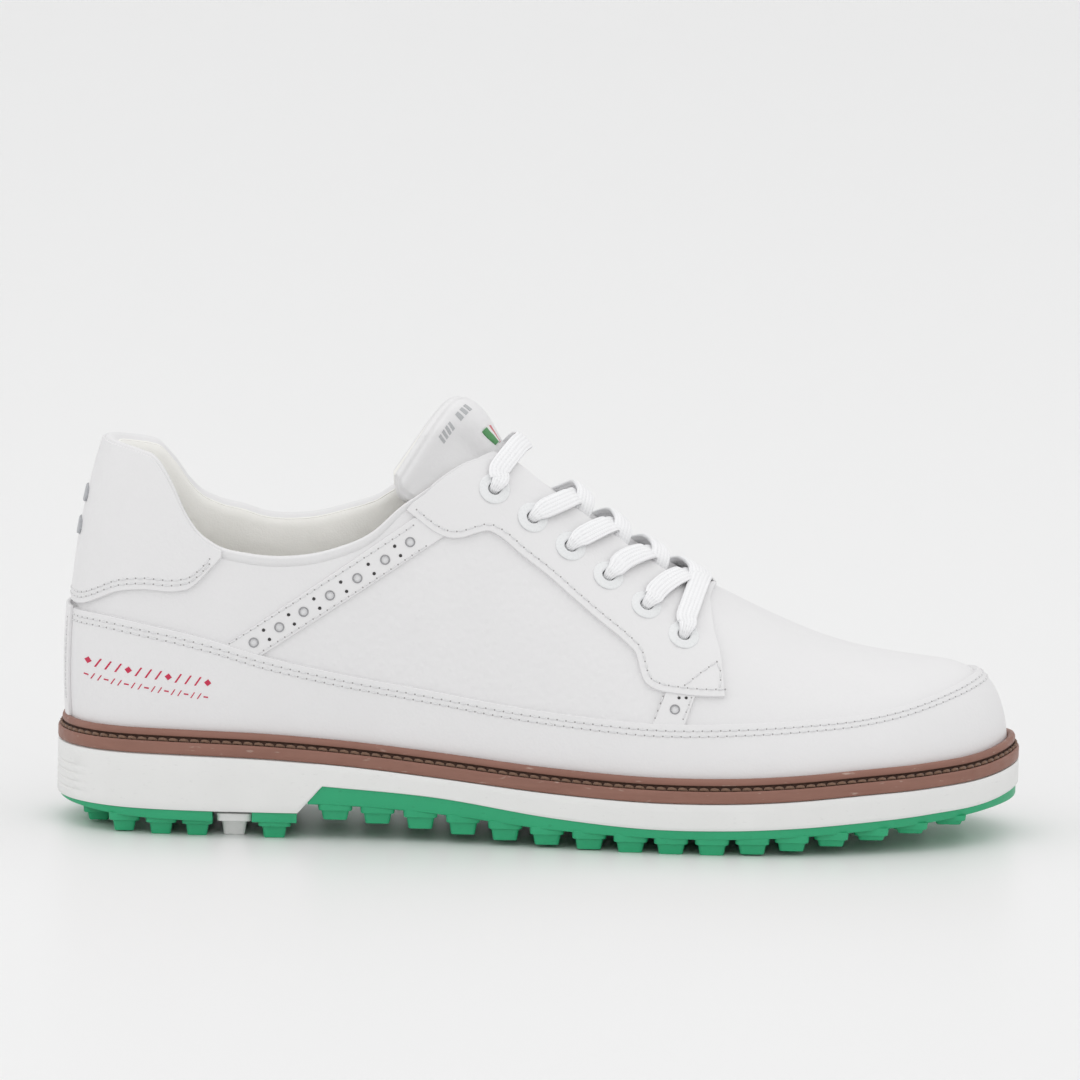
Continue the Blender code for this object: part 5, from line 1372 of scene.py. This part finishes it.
def make_lining():
    """The lining of the quarters, pushed in behind the collar's foam."""
    seam = float(side_angle(VAMP_SEAM_X, MEDIAL))
    holes = [hole for side, _ in SIDES for hole in eyelet_holes(side, 14)]
    whole = band(-seam + 0.003, seam - 0.003, level(0.0), below_top(0.003), COLUMN_STEP / 3)

    def pushed_in(offset):
        return lambda angle, rise: offset - 0.8 * collar_depth(angle, rise)

    faces = [pushed_in(offset) for offset in LINING]
    made = patch("quarter_lining_look", whole, faces, LINING_LOOK, holes, fine=0.5, bevel=0.25)
    stands_for(made, "cream_lining", "lining_quarter")


def make_facings():
    """The turned edges that close the gap between outer leather and lining along the throat."""
    for side, word in SIDES:
        ends = sorted((float(side_angle(-46, side)), float(side_angle(50, side))))
        outline = band(*ends, below_top(0.018), below_top(0.002), COLUMN_STEP / 3)
        offsets = (LINING[0] + 0.1, OUTER[0] + 0.4)
        facing = patch("throat_facing_%s_look" % word, outline, offsets, WHITE, fine=0.3, bevel=0.3)
        stands_for(facing, "white_leather")


def rise_below(angles, depth):
    """The rise at a depth in millimetres below the collar's edge."""
    top = top_rise(angles)
    found = []
    for angle, high in zip(angles, top):
        rises = np.linspace(high, 0, 160)
        points = section(np.full(160, angle), rises)
        run = run_along(points)
        found.append(np.interp(depth, run, rises))
    return np.array(found)


COLLAR_COLUMNS = 181
# The collar's section: the rolled leather as (out, up) from the edge, the lining's depths below the edge, and
# the hidden back as (depth, offset).
COLLAR_ROLL = [(0.1, -2.6), (0.3, -1.2), (0.7, -0.3), (0.5, 0.3), (-0.2, 0.6), (-1.3, 0.65), (-2.6, 0.3),
               (-3.5, -0.4)]
COLLAR_DEPTHS = (1.4, 3.0, 5.0, 7.5, 10.0, 13.0, 16.0, 19.0, 21.5, 23.5, 24.8, 25.6)
COLLAR_BACK = [(25.4, -2.9), (18.0, -2.4), (8.0, -2.2), (3.2, -1.6)]
COLLAR_SEAM = 23.5  # the depth at which the lining is sewn down


def make_collar():
    """The padded collar: leather rolled over the edge, and a soft lining that swells in and is sewn down."""
    angles = np.linspace(*(float(side_angle(-35, side)) for side, _ in SIDES), COLLAR_COLUMNS)
    top = top_rise(angles)
    points, normals = section(angles, top), wall_normal(angles, top - 0.01)
    up = section(angles, top) - section(angles, top - 0.01)
    up /= np.linalg.norm(up, axis=-1, keepdims=True)
    fade = np.clip((-34 - points[:, 0]) / 30, 0, 1)
    fade = fade * fade * (3 - 2 * fade)
    columns = np.arange(COLLAR_COLUMNS)
    ends = np.sqrt(np.clip(np.minimum(columns, columns[::-1]) / 6.0, 0, 1))
    rings = []
    for out, high in COLLAR_ROLL:
        rings.append(points + out * normals * ends[:, None] + (high * ends)[:, None] * up)
    swell = COLLAR_PAD + 0.9
    for depth in COLLAR_DEPTHS:
        rise = rise_below(angles, depth)
        # Fine puckers where the lining is sewn down, and a soft crown between.
        pucker = 0.16 * np.sin(angles * 95) * math.exp(-(((depth - COLLAR_SEAM) / 3.0) ** 2))
        shape = math.sin(math.pi * min(depth / COLLAR_DEPTH, 1)) ** 0.75
        rings.append(wall(angles, rise, -3.75 - (swell * shape + pucker) * fade - 0.35 * ends))
    for depth, offset in COLLAR_BACK:
        rings.append(wall(angles, rise_below(angles, depth), offset))
    rings = np.array(rings)
    count = len(rings)
    by_angle = rings.transpose(1, 0, 2)
    last = (COLLAR_COLUMNS - 1) * count
    faces = grid_faces(COLLAR_COLUMNS, count) + [tuple(range(count))[::-1], tuple(range(last, last + count))]
    roll = len(COLLAR_ROLL) - 1
    kinds = [int(roll <= j < count - 1) for _ in range(COLLAR_COLUMNS - 1) for j in range(count)] + [0, 0]
    made = add("collar_pad_look", by_angle.reshape(-1, 3), faces, [WHITE, LINING_LOOK], kinds=kinds, sharp=75)
    stands_for(made, "cream_lining", "collar_foam")


def rand_rise(angle):
    return seam_rise(wrapped(angle), rand_top)


SEWN_ROWS = (2.0, 3.7)  # how far below the rand's edge its two rows of stitches run


def make_rand():
    """The leather strip round the whole upper, open at the heel's middle, where the backstay covers it."""
    split = 0.006
    outline = band(split, 2 * math.pi - split, level(0.0), rand_rise, COLUMN_STEP / 4)
    rand = patch("rand_look", outline, OVERLAY_LOOK, WHITE)
    stands_for(rand, "white_leather", "rand")
    angles = np.linspace(0.12, 2 * math.pi - 0.12, 420)
    top = rand_rise(angles)
    rows = [lowered(angles, top, by) for by in SEWN_ROWS]
    stands_for(sewn("rand_stitches_look", rows, OVERLAY_LOOK[1]), "white_leather")


def make_heel_cap():
    """The leather cap round the back of the collar, with two rows of stitches along its lower edge."""
    angles = np.radians(np.arange(-75, 75.1, 1.0))
    low, high = seam_rise(angles, heel_cap_bottom), top_rise(angles) - 0.002
    keep = high - low > 0.012
    outline = there_and_back(angles[keep], low[keep], high[keep])
    stands_for(patch("heel_cap_look", outline, OVERLAY_LOOK, WHITE), "white_leather", "heel_cap")
    inside = angles[keep][2:-2]
    edge = seam_rise(inside, heel_cap_bottom)
    rows = []
    for by in (-1.9, -3.5):
        row_angles, row = lowered(inside, edge, by)
        room = row < top_rise(row_angles) - 0.02
        rows.append((row_angles[room], row[room]))
    stands_for(sewn("heel_cap_stitches_look", rows, OVERLAY_LOOK[1]), "white_leather")


BACKSTAY_HALF, BACKSTAY_SEAM, MARK_HALF = 0.135, 0.108, 0.10  # half-widths at the heel, as angles


def make_backstay():
    """The strip up the back of the heel, and the two grey bars above it."""
    outline = band(-BACKSTAY_HALF, BACKSTAY_HALF, level(0.02), lambda a: rand_rise(a) + 0.004, 0.03)
    made = patch("backstay_look", outline, (OVERLAY[1] - 0.2, OVERLAY[1] + 1.2), WHITE, bevel=0.45)
    stands_for(made, "white_leather", "backstay")
    rises = np.linspace(0.09, float(rand_rise(np.array([0.0]))[0]) - 0.02, 40)
    rows = [(np.full(40, side * BACKSTAY_SEAM), rises) for side in (LATERAL, MEDIAL)]
    stands_for(sewn("backstay_stitches_look", rows, OVERLAY[1] + 1.2), "white_leather")
    for z, word in ((101.0, "upper"), (91.0, "lower")):
        # A plain raised bar with rounded ends.
        angles = np.linspace(-MARK_HALF, MARK_HALF, 13)
        pinch = np.sqrt(np.clip(1 - (np.abs(angles) / (MARK_HALF + 0.001)) ** 6, 0, 1))
        low, high = (seam_rise(angles, level_height(z + by)) for by in (-2.4, 2.4))
        middle, half = (low + high) / 2, (high - low) / 2 * pinch
        outline = there_and_back(angles, middle - half, middle + half)
        outline = np.concatenate([outline[: len(angles)], outline[len(angles) + 1 : -1]])
        mark = patch("heel_mark_%s_look" % word, outline, (OVERLAY[1] - 0.1, OVERLAY[1] + 0.8), GREY_MARK)
        stands_for(mark, "steel_grey", "heel_mark_" + word)


EYESTAY_CORNER = 19  # the place in EYESTAY_EDGE of the sharp corner at its front


def make_eyestays():
    """The leather that holds the eyelets, with a row of stitches and a sewn triangle at its front."""
    for side, word in SIDES:
        edge, front = EYESTAY_EDGE[: EYESTAY_CORNER + 1], EYESTAY_EDGE[EYESTAY_CORNER:]
        drawn = np.concatenate([smooth_line(edge, 1.2), smooth_line(front, 1.2)[1:]])
        lower = np.column_stack(on_side(drawn, side))
        tip = [(float(side_angle(x, side)), 0.985) for x in (53.5, 52.4)]  # where the sides meet
        x = np.concatenate([np.linspace(51.4, 46, 8), np.linspace(44, -14, 34)])
        throat = np.column_stack([side_angle(x, side), top_rise(side_angle(x, side)) - 0.004])
        top = np.column_stack(on_side(smooth_line(EYESTAY_TOP, 1.2), side))
        outline = np.concatenate([lower, tip, throat, top])
        holes = eyelet_holes(side, 18)
        made = patch("eyestay_%s_look" % word, outline, OVERLAY_LOOK, WHITE, holes, fine=0.28, bevel=0.4)
        stands_for(made, "white_leather", "eyestay_" + word)
        inner = inset_line(smooth_line(edge, 0.8), 1.9)[3:]
        inner = inner[np.concatenate([[True], np.diff(inner[:, 0]) > 0.05])]
        corner = np.array([(55.0, 49.3), (55.2, 54.3), (54.0, 56.8)])
        triangle = np.array([(54.0, 56.9), (49.5, 54.2), (44.4, 50.6)])
        rows = [on_side(line, side) for line in (inner, smooth_line(corner, 0.8), smooth_line(triangle, 0.8))]
        stitches = sewn("eyestay_stitches_%s_look" % word, rows, OVERLAY_LOOK[1], spacing=2.9)
        stands_for(stitches, "white_leather")


def longer_strip():
    """The strip's corners, carried on under the rand and the eyestay."""
    (a, b, c, d) = [np.array(p) for p in STRIP]
    along = (b - a) / np.linalg.norm(b - a)
    return [a - 5 * along, b + 5 * along, c + 4 * along, d - 5 * along]


def punching(names, large, small, small_radius):
    """A grey ring and a pale backing at each large hole of a strip, and a dark disc of painted shade in each
    small one.
    """
    # The dark discs in the small holes are painted shade.
    ring, backing, dark = names
    made = [
        rings_at(ring, large, STRIP_HOLE - 0.02, 0.2, STRIP_LEVEL + 0.03, RING_GREY),
        discs_at(backing, large, STRIP_HOLE, 0.6, PUNCHED_PALE),
        discs_at(dark, small, small_radius, 0.5, PUNCHED_SHADE),
    ]
    for piece in made:
        stands_for(piece, "white_leather")


def make_strips():
    """The long punched strips, with two rows of stitches and small holes between the large ones."""
    for side, word in SIDES:
        centres = np.array(STRIP_HOLES)
        along = (centres[-1] - centres[0]) / np.linalg.norm(centres[-1] - centres[0])
        across = np.array([-along[1], along[0]])
        middle = (centres[:-1] + centres[1:]) / 2
        middle = np.concatenate([[centres[0] - 4.2 * along], middle, [centres[-1] + 4.4 * along]])
        small = np.concatenate([middle + 1.7 * across, middle - 1.7 * across])
        large_places = list(zip(*on_side(centres, side)))
        small_places = list(zip(*on_side(small, side)))
        small_places = small_places[1:7] + small_places[9:15]  # the others are covered
        holes = [circle_on_wall(a, r, STRIP_HOLE, 16) for a, r in large_places]
        holes += [circle_on_wall(a, r, 0.55, 8) for a, r in small_places]
        outline = np.column_stack(on_side(densified(np.array(longer_strip()), 1.6), side))
        strip = patch("brogue_strip_%s_look" % word, outline, STRIP_LOOK, WHITE, holes, fine=0.25, bevel=0.3)
        stands_for(strip, "white_leather", "brogue_strip_" + word)
        names = ["strip_%s_%s_look" % (kind, word) for kind in ("rings", "backing", "punching")]
        punching(names, large_places, small_places, 0.6)
        rows = []
        for by in (3.7, -3.7):
            line = np.array([centres[0] - 6.5 * along + by * across, centres[-1] + 5.5 * along + by * across])
            rows.append(on_side(densified(line, 1.0)[: int(np.linalg.norm(line[1] - line[0]))], side))
        stitches = sewn("strip_stitches_%s_look" % word, rows, STRIP_LEVEL, spacing=2.6, radius=0.22)
        stands_for(stitches, "white_leather")


def make_front_strips():
    """The short punched strips in front of the eyestays, carried on under their neighbours."""
    for side, word in SIDES:
        outline = np.column_stack(on_side(densified(np.array(FRONT_STRIP), 1.4), side))
        large = [tuple(float(v[0]) for v in locate(*FRONT_STRIP_HOLE, side))]
        small = list(zip(*on_side(np.array(FRONT_STRIP_SMALL), side)))
        holes = [circle_on_wall(*large[0], STRIP_HOLE, 16)] + [circle_on_wall(a, r, 0.5, 8) for a, r in small]
        strip = patch("front_strip_%s_look" % word, outline, STRIP_LOOK, WHITE, holes, fine=0.25, bevel=0.3)
        stands_for(strip, "white_leather", "front_strip_" + word)
        names = ["front_%s_%s_look" % (kind, word) for kind in ("ring", "backing", "punching")]
        punching(names, large, small, 0.55)
        back, front = [(37.9, 47.6), (36.6, 44.0), (35.6, 41.2)], [(46.6, 47.2), (45.4, 43.8), (44.2, 41.0)]
        rows = [on_side(smooth_line(line, 0.8), side) for line in (back, front)]
        stitches = sewn("front_strip_stitches_%s_look" % word, rows, STRIP_LEVEL, spacing=2.4, radius=0.22,
                        hole=0.25)
        stands_for(stitches, "white_leather")


def make_eyelets():
    """Turned rings. The profile holds (radius, height over the vamp) of rim, flange, tube and clinch."""
    bore = EYELET_BORE - 0.05
    profile = [(bore, 0.6), (bore, 1.6), (EYELET_BORE + 0.12, 2.0), (EYELET_BORE + 0.5, 2.2)]
    profile += [(3.0, 2.12), (3.3, 2.02), (4.0, 1.98), (4.5, 1.92), (4.82, 1.8), (4.9, 1.7), (4.9, 1.5)]
    profile += [(EYELET_TUBE, 1.5), (EYELET_TUBE, -4.25)]
    profile += [(EYELET_TUBE + 1.0, -4.4), (EYELET_BORE, -4.6), (bore, -3.0)]
    for side, word in SIDES:
        for number, (x, distance) in enumerate(eyelet_places(), 1):
            centre, normal = instep(x, side * distance, 0.0)
            ahead, across = round_axes(normal)
            turns = 2 * np.pi * (np.arange(40) + 0.5) / 40
            round_it = np.cos(turns)[:, None] * ahead + np.sin(turns)[:, None] * across
            rings = [centre + radius * round_it + height * normal for radius, height in profile]
            made = loft("eyelet_%s_%d_look" % (word, number), rings, ENAMEL, closed_rows=True, sharp=60)
            stands_for(made, "white_enamel", "eyelet_%s_%d" % (word, number))


def tongue_free(station):
    """0 where the tongue is held down and 1 at its free end."""
    return np.clip((-12 - station) / 8, 0, 1)


def tongue_crown(station, margin):
    """How far the padding swells at a distance from the tongue's edge."""
    return 0.9 * tongue_free(station) * np.clip(margin / 12, 0, 1) ** 0.7


def tongue_grid(stations, columns):
    """Points of the tongue's leather and their normals, and how far each is from the tongue's edge."""
    points, normals, margins = [], [], []
    for station in stations:
        half = float(tongue_half_width(station))
        for share in np.linspace(-1, 1, columns):
            distance = half * math.copysign(1 - (1 - abs(share)) ** 1.7, share)
            lean = float(tongue_lean(station))
            angle, rise = instep_rise(station - lean * abs(distance), distance)
            points.append(tongue_point(station, distance, 0.0))
            normals.append(wall_normal(angle, rise))
            margins.append(min(half - abs(distance), station - stations[-1], 60.0))
    grid = (len(stations), columns)
    points, normals = (np.array(values).reshape(*grid, 3) for values in (points, normals))
    return points, normals, np.array(margins).reshape(grid)


def make_tongue():
    """One soft form: leather outside, foam within, lining inside, pulled in along its sewn edge."""
    free_end = TONGUE_TIP + 15 * (1 - np.linspace(0, 1, 22)) ** 1.5
    stations = np.concatenate([np.linspace(TONGUE_ROOT, -10, 26), free_end])
    columns = 65
    points, normals, margin = tongue_grid(stations, columns)
    thick = np.array([1.8 + float(tongue_foam(s)) + 1.3 for s in stations])[:, None]
    radius = np.minimum(thick / 2, 2.6)
    near = np.clip(margin / radius, 0, 1)
    fall = radius * (1 - np.sqrt(np.clip(1 - (1 - near) ** 2, 0, 1)))
    crown = tongue_crown(stations[:, None], margin)
    seam = 0.7 * np.exp(-(((margin - TONGUE_SEAM) / 0.5) ** 2)) * tongue_free(stations[:, None])
    outer = points + (crown - fall - seam)[..., None] * normals
    inner = points - (thick - fall + 0.6 * crown - 0.8 * seam)[..., None] * normals
    rows = len(stations)
    both = np.concatenate([outer.reshape(-1, 3), inner.reshape(-1, 3)])
    faces = sheet_faces(rows, columns)
    made = add("tongue_pad_look", both, faces, [WHITE, LINING_LOOK], sharp=80, body="tongue")
    for polygon in made.data.polygons:
        if all(v >= rows * columns for v in polygon.vertices):
            polygon.material_index = 1
    stands_for(made, "white_leather", "tongue_leather", "tongue_foam", "tongue_lining")


def flat_on_tongue(name, rows, finish, slot, raised, thick, nodes=()):
    """A thin piece lying on the tongue. rows holds (station, distance) points, and its UV map runs 0 to 1."""
    rows = np.array(rows, float)
    count, columns = rows.shape[:2]
    upper, lower, uvs = [], [], []
    for i in range(count):
        for j in range(columns):
            station, distance = rows[i, j]
            half = float(tongue_half_width(station))
            crown = tongue_crown(station, min(half - abs(distance), station - TONGUE_TIP))
            upper.append(tongue_point(station, distance, crown + raised))
            lower.append(tongue_point(station, distance, crown + raised - thick))
            uvs.append((i / (count - 1), j / (columns - 1)))
    made = plain_mesh(name, upper + lower, sheet_faces(count, columns), [finish], "tongue", uvs=uvs + uvs)
    stands_for(made, slot, *nodes)


FIRST_BAR, BAR_PITCH = -22.6, 2.1  # the grey bars' places across the tongue


def make_tongue_trim():
    """The woven label and the row of grey bars on the tongue."""
    label = [[(s, d) for d in np.linspace(-9.4, -4.2, 7)] for s in np.linspace(-10.6, -15.0, 9)]
    woven = woven_label("label_look")
    flat_on_tongue("tongue_label_look", label, woven, "label", 0.45, 0.7, ("tongue_label",))
    # Plain bars stand where lettering would be.
    for k in (0, 1, 2, 3, 5, 6, 7):
        d0 = FIRST_BAR + BAR_PITCH * k
        mark = [[(s, d0 + u) for u in (0.0, 0.6, 1.25)] for s in (-20.6, -21.7, -22.8)]
        flat_on_tongue("tongue_bar_%d_look" % (k + 1), mark, GREY_PRINT, "label", 0.12, 0.3)


def make_print():
    """Rows of plain red ticks and diamonds on the heel side, in place of lettering."""
    start, end = np.array(PRINT_START), np.array(PRINT_END)
    along = (end - start) / np.linalg.norm(end - start)
    up = np.array([-along[1], along[0]])

    def printed(name, count, every, often, other, down):
        """A row of marks: the other shape at each every-th from the first, and the often shape between."""
        marks = []
        for k in range(count):
            centre = start + (end - start) * k / (count - 1) - down * up
            outline = np.array([centre + a * along + b * up for a, b in (often if k % every else other)])
            angle, rise = on_side(outline, LATERAL)
            depths = [np.full(len(outline), OVERLAY_LOOK[1] + high) for high in (0.06, -0.15)]
            layers = [wall(angle, rise, depth) for depth in depths]
            marks.append((np.concatenate(layers), prism_faces(len(outline))))
        stands_for(add(name, *joined(marks), RED_PRINT), "white_leather")

    tick = [(-1.0, -1.45), (-0.45, -1.45), (1.0, 1.45), (0.45, 1.45)]
    diamond = [(-1.1, 0), (0, -1.1), (1.1, 0), (0, 1.1)]
    printed("heel_print_upper_look", 13, 4, tick, diamond, 0.0)
    small_tick = [(-0.62, -0.95), (-0.28, -0.95), (0.62, 0.95), (0.28, 0.95)]
    dash = [(-0.7, -0.22), (0.7, -0.22), (0.7, 0.22), (-0.7, 0.22)]
    printed("heel_print_lower_look", 19, 3, small_tick, dash, 4.5)


LACE_SMOOTHING = 14  # how many times its path is eased, so that it bends like cloth


def lace_rings(stations, finer=4, corners=28):
    """Sections of the lace, a flat tube with soft edges and ribs along it.

    Returns its rings, and how far round and along the lace each of their points is, in millimetres.
    """
    points = np.array([station[0] for station in stations])
    run = run_along(points)
    keep = np.concatenate([[True], np.diff(run) > 0.15])
    stations = [station for station, kept in zip(stations, keep) if kept]
    points, run = points[keep], run[keep]
    fine = np.interp(np.linspace(0, len(run) - 1, (len(run) - 1) * finer + 1), np.arange(len(run)), run)

    def eased(values):
        return np.column_stack([curve_through(np.column_stack([run, v]))(fine) for v in np.transpose(values)])

    sides, last = [], None
    tangents = np.gradient(points, axis=0)
    tangents /= np.linalg.norm(tangents, axis=1, keepdims=True)
    for (point, normal, heading, width, thick), tangent in zip(stations, tangents):
        ahead = np.array([heading[0], 0, 0]) - heading[1] * np.cross(np.array([1.0, 0, 0]), normal)
        side = np.cross(normal, ahead)
        side -= side.dot(tangent) * tangent
        side /= np.linalg.norm(side)
        if last is not None and side.dot(last) < 0:
            side = -side
        last = side
        sides.append(side)
    centre, side = eased(points), eased(sides)
    size = eased([(s[3], s[4]) for s in stations])
    for _ in range(LACE_SMOOTHING):
        for values in (centre, side, size):
            values[1:-1] += 0.5 * ((values[:-2] + values[2:]) / 2 - values[1:-1])
    tangent = np.gradient(centre, axis=0)
    tangent /= np.linalg.norm(tangent, axis=1, keepdims=True)
    side -= (side * tangent).sum(1)[:, None] * tangent
    side /= np.linalg.norm(side, axis=1, keepdims=True)
    rise = np.cross(tangent, side)
    turns = 2 * math.pi * np.arange(corners) / corners
    across = np.sign(np.cos(turns)) * np.abs(np.cos(turns)) ** 0.8
    lift = np.sign(np.sin(turns)) * np.abs(np.sin(turns)) ** 0.7
    around = run_along(across[:, None] * 3.2)
    rings, uvs = [], []
    for k in range(len(centre)):
        width, thick = size[k]
        # A squeezed lace is rounder, and gathers.
        gather = np.clip((5.0 - width) / 2.0, 0, 1)
        rib = 1 + 0.08 * np.cos(across * math.pi * 4) * (1 - gather)
        w, t = width / 2, thick / 2
        rings.append(centre[k] + (w * across)[:, None] * side[k] + (t * lift * rib)[:, None] * rise[k])
        uvs.append(np.column_stack([around, np.full(corners, fine[k])]))
    return np.array(rings), np.array(uvs)


def make_lace():
    """One lace: two halves that start at the lowest bar's middle, the second with the highest bar."""
    places = eyelet_places()
    (x_high, d_high), (x_next, d_next) = places[0], places[1]
    one, side, arrive = half_route(LATERAL, True)
    one.through(x_next, side * d_next, arrive, (0.0, side))
    tail(one, x_next, d_next)
    two, side, arrive = half_route(MEDIAL, False)
    two.through(x_next, side * d_next, arrive, (-1.0, 0.0))
    two.through(x_high, side * d_high, (-1.0, 0.0), unit(0.4, -side), down=False)
    reach = d_high - EYELET_REACH
    bar(two, x_high, side * reach, -side * reach, HIGH_BOW)
    two.through(x_high, -side * d_high, unit(-0.4, -side), (0.0, -side))
    tail(two, x_high, d_high)
    stations = two.stations[::-1] + one.stations
    rings, uvs = lace_rings(stations)
    rows, columns = rings.shape[:2]
    last = (rows - 1) * columns
    faces = grid_faces(rows, columns) + [tuple(range(columns))[::-1], tuple(range(last, last + columns))]
    made = plain_mesh("lace_look", rings.reshape(-1, 3), faces, [LACE_LOOK], kinds=[0] * len(faces),
                      uvs=uvs.reshape(-1, 2))
    stands_for(made, "white_lace", "lace")


def make_footbed():
    """A moulded footbed with a raised rim round the heel and arch."""
    angles = side_columns(1.5)
    x = -HALF_LENGTH * np.cos(angles)
    back = np.clip((20 - x) / 60, 0, 1)
    middle = spine(angles)
    base = midsole_top(x) + FOOTBED[0]
    rows = [(middle, midsole_top(middle[:, 0]) + FOOTBED[0])]
    for inset, high in ((13.5, 0.0), (12.5, 0.5), (12.2, 2.0)):
        rows.append((sole_edge(angles, inset), base + high))
    top = footbed_top(x)
    for inset, lift in ((12.25, 0.9), (12.9, 1.35), (14.0, 1.15), (17.0, 0.5), (21.0, 0.1), (26.0, 0.0)):
        flat = sole_edge(angles, inset)
        share = np.clip((inset - 12.2) / 14, 0, 1)
        level_top = footbed_top(flat[:, 0]) * share + top * (1 - share)
        rows.append((flat, level_top - 0.3 + lift * back * 0.9))
    near = sole_edge(angles, 26.0)
    for share in (0.33, 0.66, 1.0):
        flat = near * (1 - share) + middle * share
        rows.append((flat, footbed_top(flat[:, 0]) - 0.3))
    rings = [np.column_stack([flat, z]) for flat, z in rows]
    made = loft("footbed_look", rings, FOOTBED_LOOK, body="footbed", sharp=60)
    stands_for(made, "cream_lining", "footbed")


def finish_hidden():
    """Pieces that stay as the CAD has them, with a better material."""
    nodes = frame["nodes"]
    hidden = {
        "cork_filler": plain_fibre("cork_look", (0.42, 0.25, 0.12), (0.26, 0.14, 0.06), 1.6, 0.15),
        "shank": steel_strip("steel_look"),
        "insole_board": plain_fibre("board_look", (0.55, 0.48, 0.38), (0.44, 0.37, 0.28), 0.8, 0.06),
        "heel_counter": plain_fibre("counter_look", (0.60, 0.56, 0.48), (0.50, 0.46, 0.38), 0.7, 0.05),
        "toe_puff": plain_fibre("puff_look", (0.60, 0.56, 0.48), (0.50, 0.46, 0.38), 0.7, 0.05),
        "aglet_upper": enamel("aglet_upper_look"),
        "aglet_lower": enamel("aglet_lower_look"),
    }
    for name, finish in hidden.items():
        for slot in nodes[name].material_slots:
            slot.material = finish


# ---- Stage, light and camera ----

LENS, SENSOR, FRAME_WIDTH = 600.0, 36.0, 0.3342
ELEVATION, ROLL = math.radians(9.0), math.radians(1.15)
LOOK_AT = Vector((-0.0009, 0.0, 0.0892))


def make_stage():
    """A pale floor that sweeps up into a backdrop, in metres."""
    near, far, bend, height, half_width = -9.0, 7.0, 2.0, 8.0, 12.0
    turns = np.linspace(0.1, math.pi / 2, 14)
    profile = [(near, 0.0), (far, 0.0)]
    profile += [(far + bend * math.sin(turn), bend * (1 - math.cos(turn))) for turn in turns]
    profile += [(far + bend, height)]
    points = [(x, y, z) for y, z in profile for x in (-half_width, half_width)]
    mesh = bpy.data.meshes.new("floor_sweep")
    mesh.from_pydata(points, [], [(2 * i, 2 * i + 1, 2 * i + 3, 2 * i + 2) for i in range(len(profile) - 1)])
    for polygon in mesh.polygons:
        polygon.use_smooth = True
    paper = Finish("paper_look", Specular_IOR_Level=0.35, Roughness=0.33)
    paper.colour(paper.blend(paper.noise(900, 1), (0.845, 0.845, 0.845), (0.855, 0.855, 0.855)))
    paper.bump(paper.noise(60, 2), 0.02)
    mesh.materials.append(paper.made)
    floor = bpy.data.objects.new("floor_sweep", mesh)
    bpy.context.scene.collection.objects.link(floor)


def area_light(name, place, aim, size, power):
    """A square light, with its place and size in metres and its power in watts."""
    light = bpy.data.lights.new(name, "AREA")
    light.size, light.energy = size, power
    made = bpy.data.objects.new(name, light)
    made.location = place
    made.rotation_euler = (Vector(aim) - Vector(place)).to_track_quat("-Z", "Y").to_euler()
    bpy.context.scene.collection.objects.link(made)


def make_lights():
    """An even white surround, with soft lights from above, the left and the front."""
    world = bpy.data.worlds.new("studio")
    world.use_nodes = True
    shader = world.node_tree.nodes["Background"]
    shader.inputs["Color"].default_value = (1.0, 1.0, 1.0, 1.0)
    shader.inputs["Strength"].default_value = 1.0
    bpy.context.scene.world = world
    area_light("top_light", (0.1, 0.15, 1.5), (0, 0, 0.05), 1.6, 2.0)
    area_light("left_light", (-1.3, -1.1, 0.9), (0, 0, 0.06), 1.0, 1.6)
    area_light("front_light", (0.5, -1.7, 0.75), (0, 0, 0.06), 1.2, 0.6)
    view = bpy.context.scene.view_settings
    view.view_transform, view.look = "Standard", "None"


def make_camera():
    """A long lens, square to the side and a little above it."""
    camera = bpy.data.cameras.new("camera")
    camera.lens, camera.sensor_width, camera.clip_end = LENS, SENSOR, 50.0
    made = bpy.data.objects.new("camera", camera)
    distance = FRAME_WIDTH * LENS / SENSOR
    made.location = LOOK_AT + distance * Vector((0, -math.cos(ELEVATION), math.sin(ELEVATION)))
    aim = (LOOK_AT - made.location).to_track_quat("-Z", "Y").to_matrix() @ Matrix.Rotation(ROLL, 3, "Z")
    made.rotation_euler = aim.to_euler()
    bpy.context.scene.collection.objects.link(made)
    bpy.context.scene.camera = made


make_camera()
make_midsole()
make_outsole()
make_welt()
make_footbed()
make_vamp()
make_quarters()
make_lining()
make_facings()
make_collar()
make_rand()
make_heel_cap()
make_backstay()
make_strips()
make_front_strips()
make_eyestays()
make_eyelets()
make_tongue()
make_tongue_trim()
make_print()
make_lace()
finish_hidden()
make_stage()
make_lights()
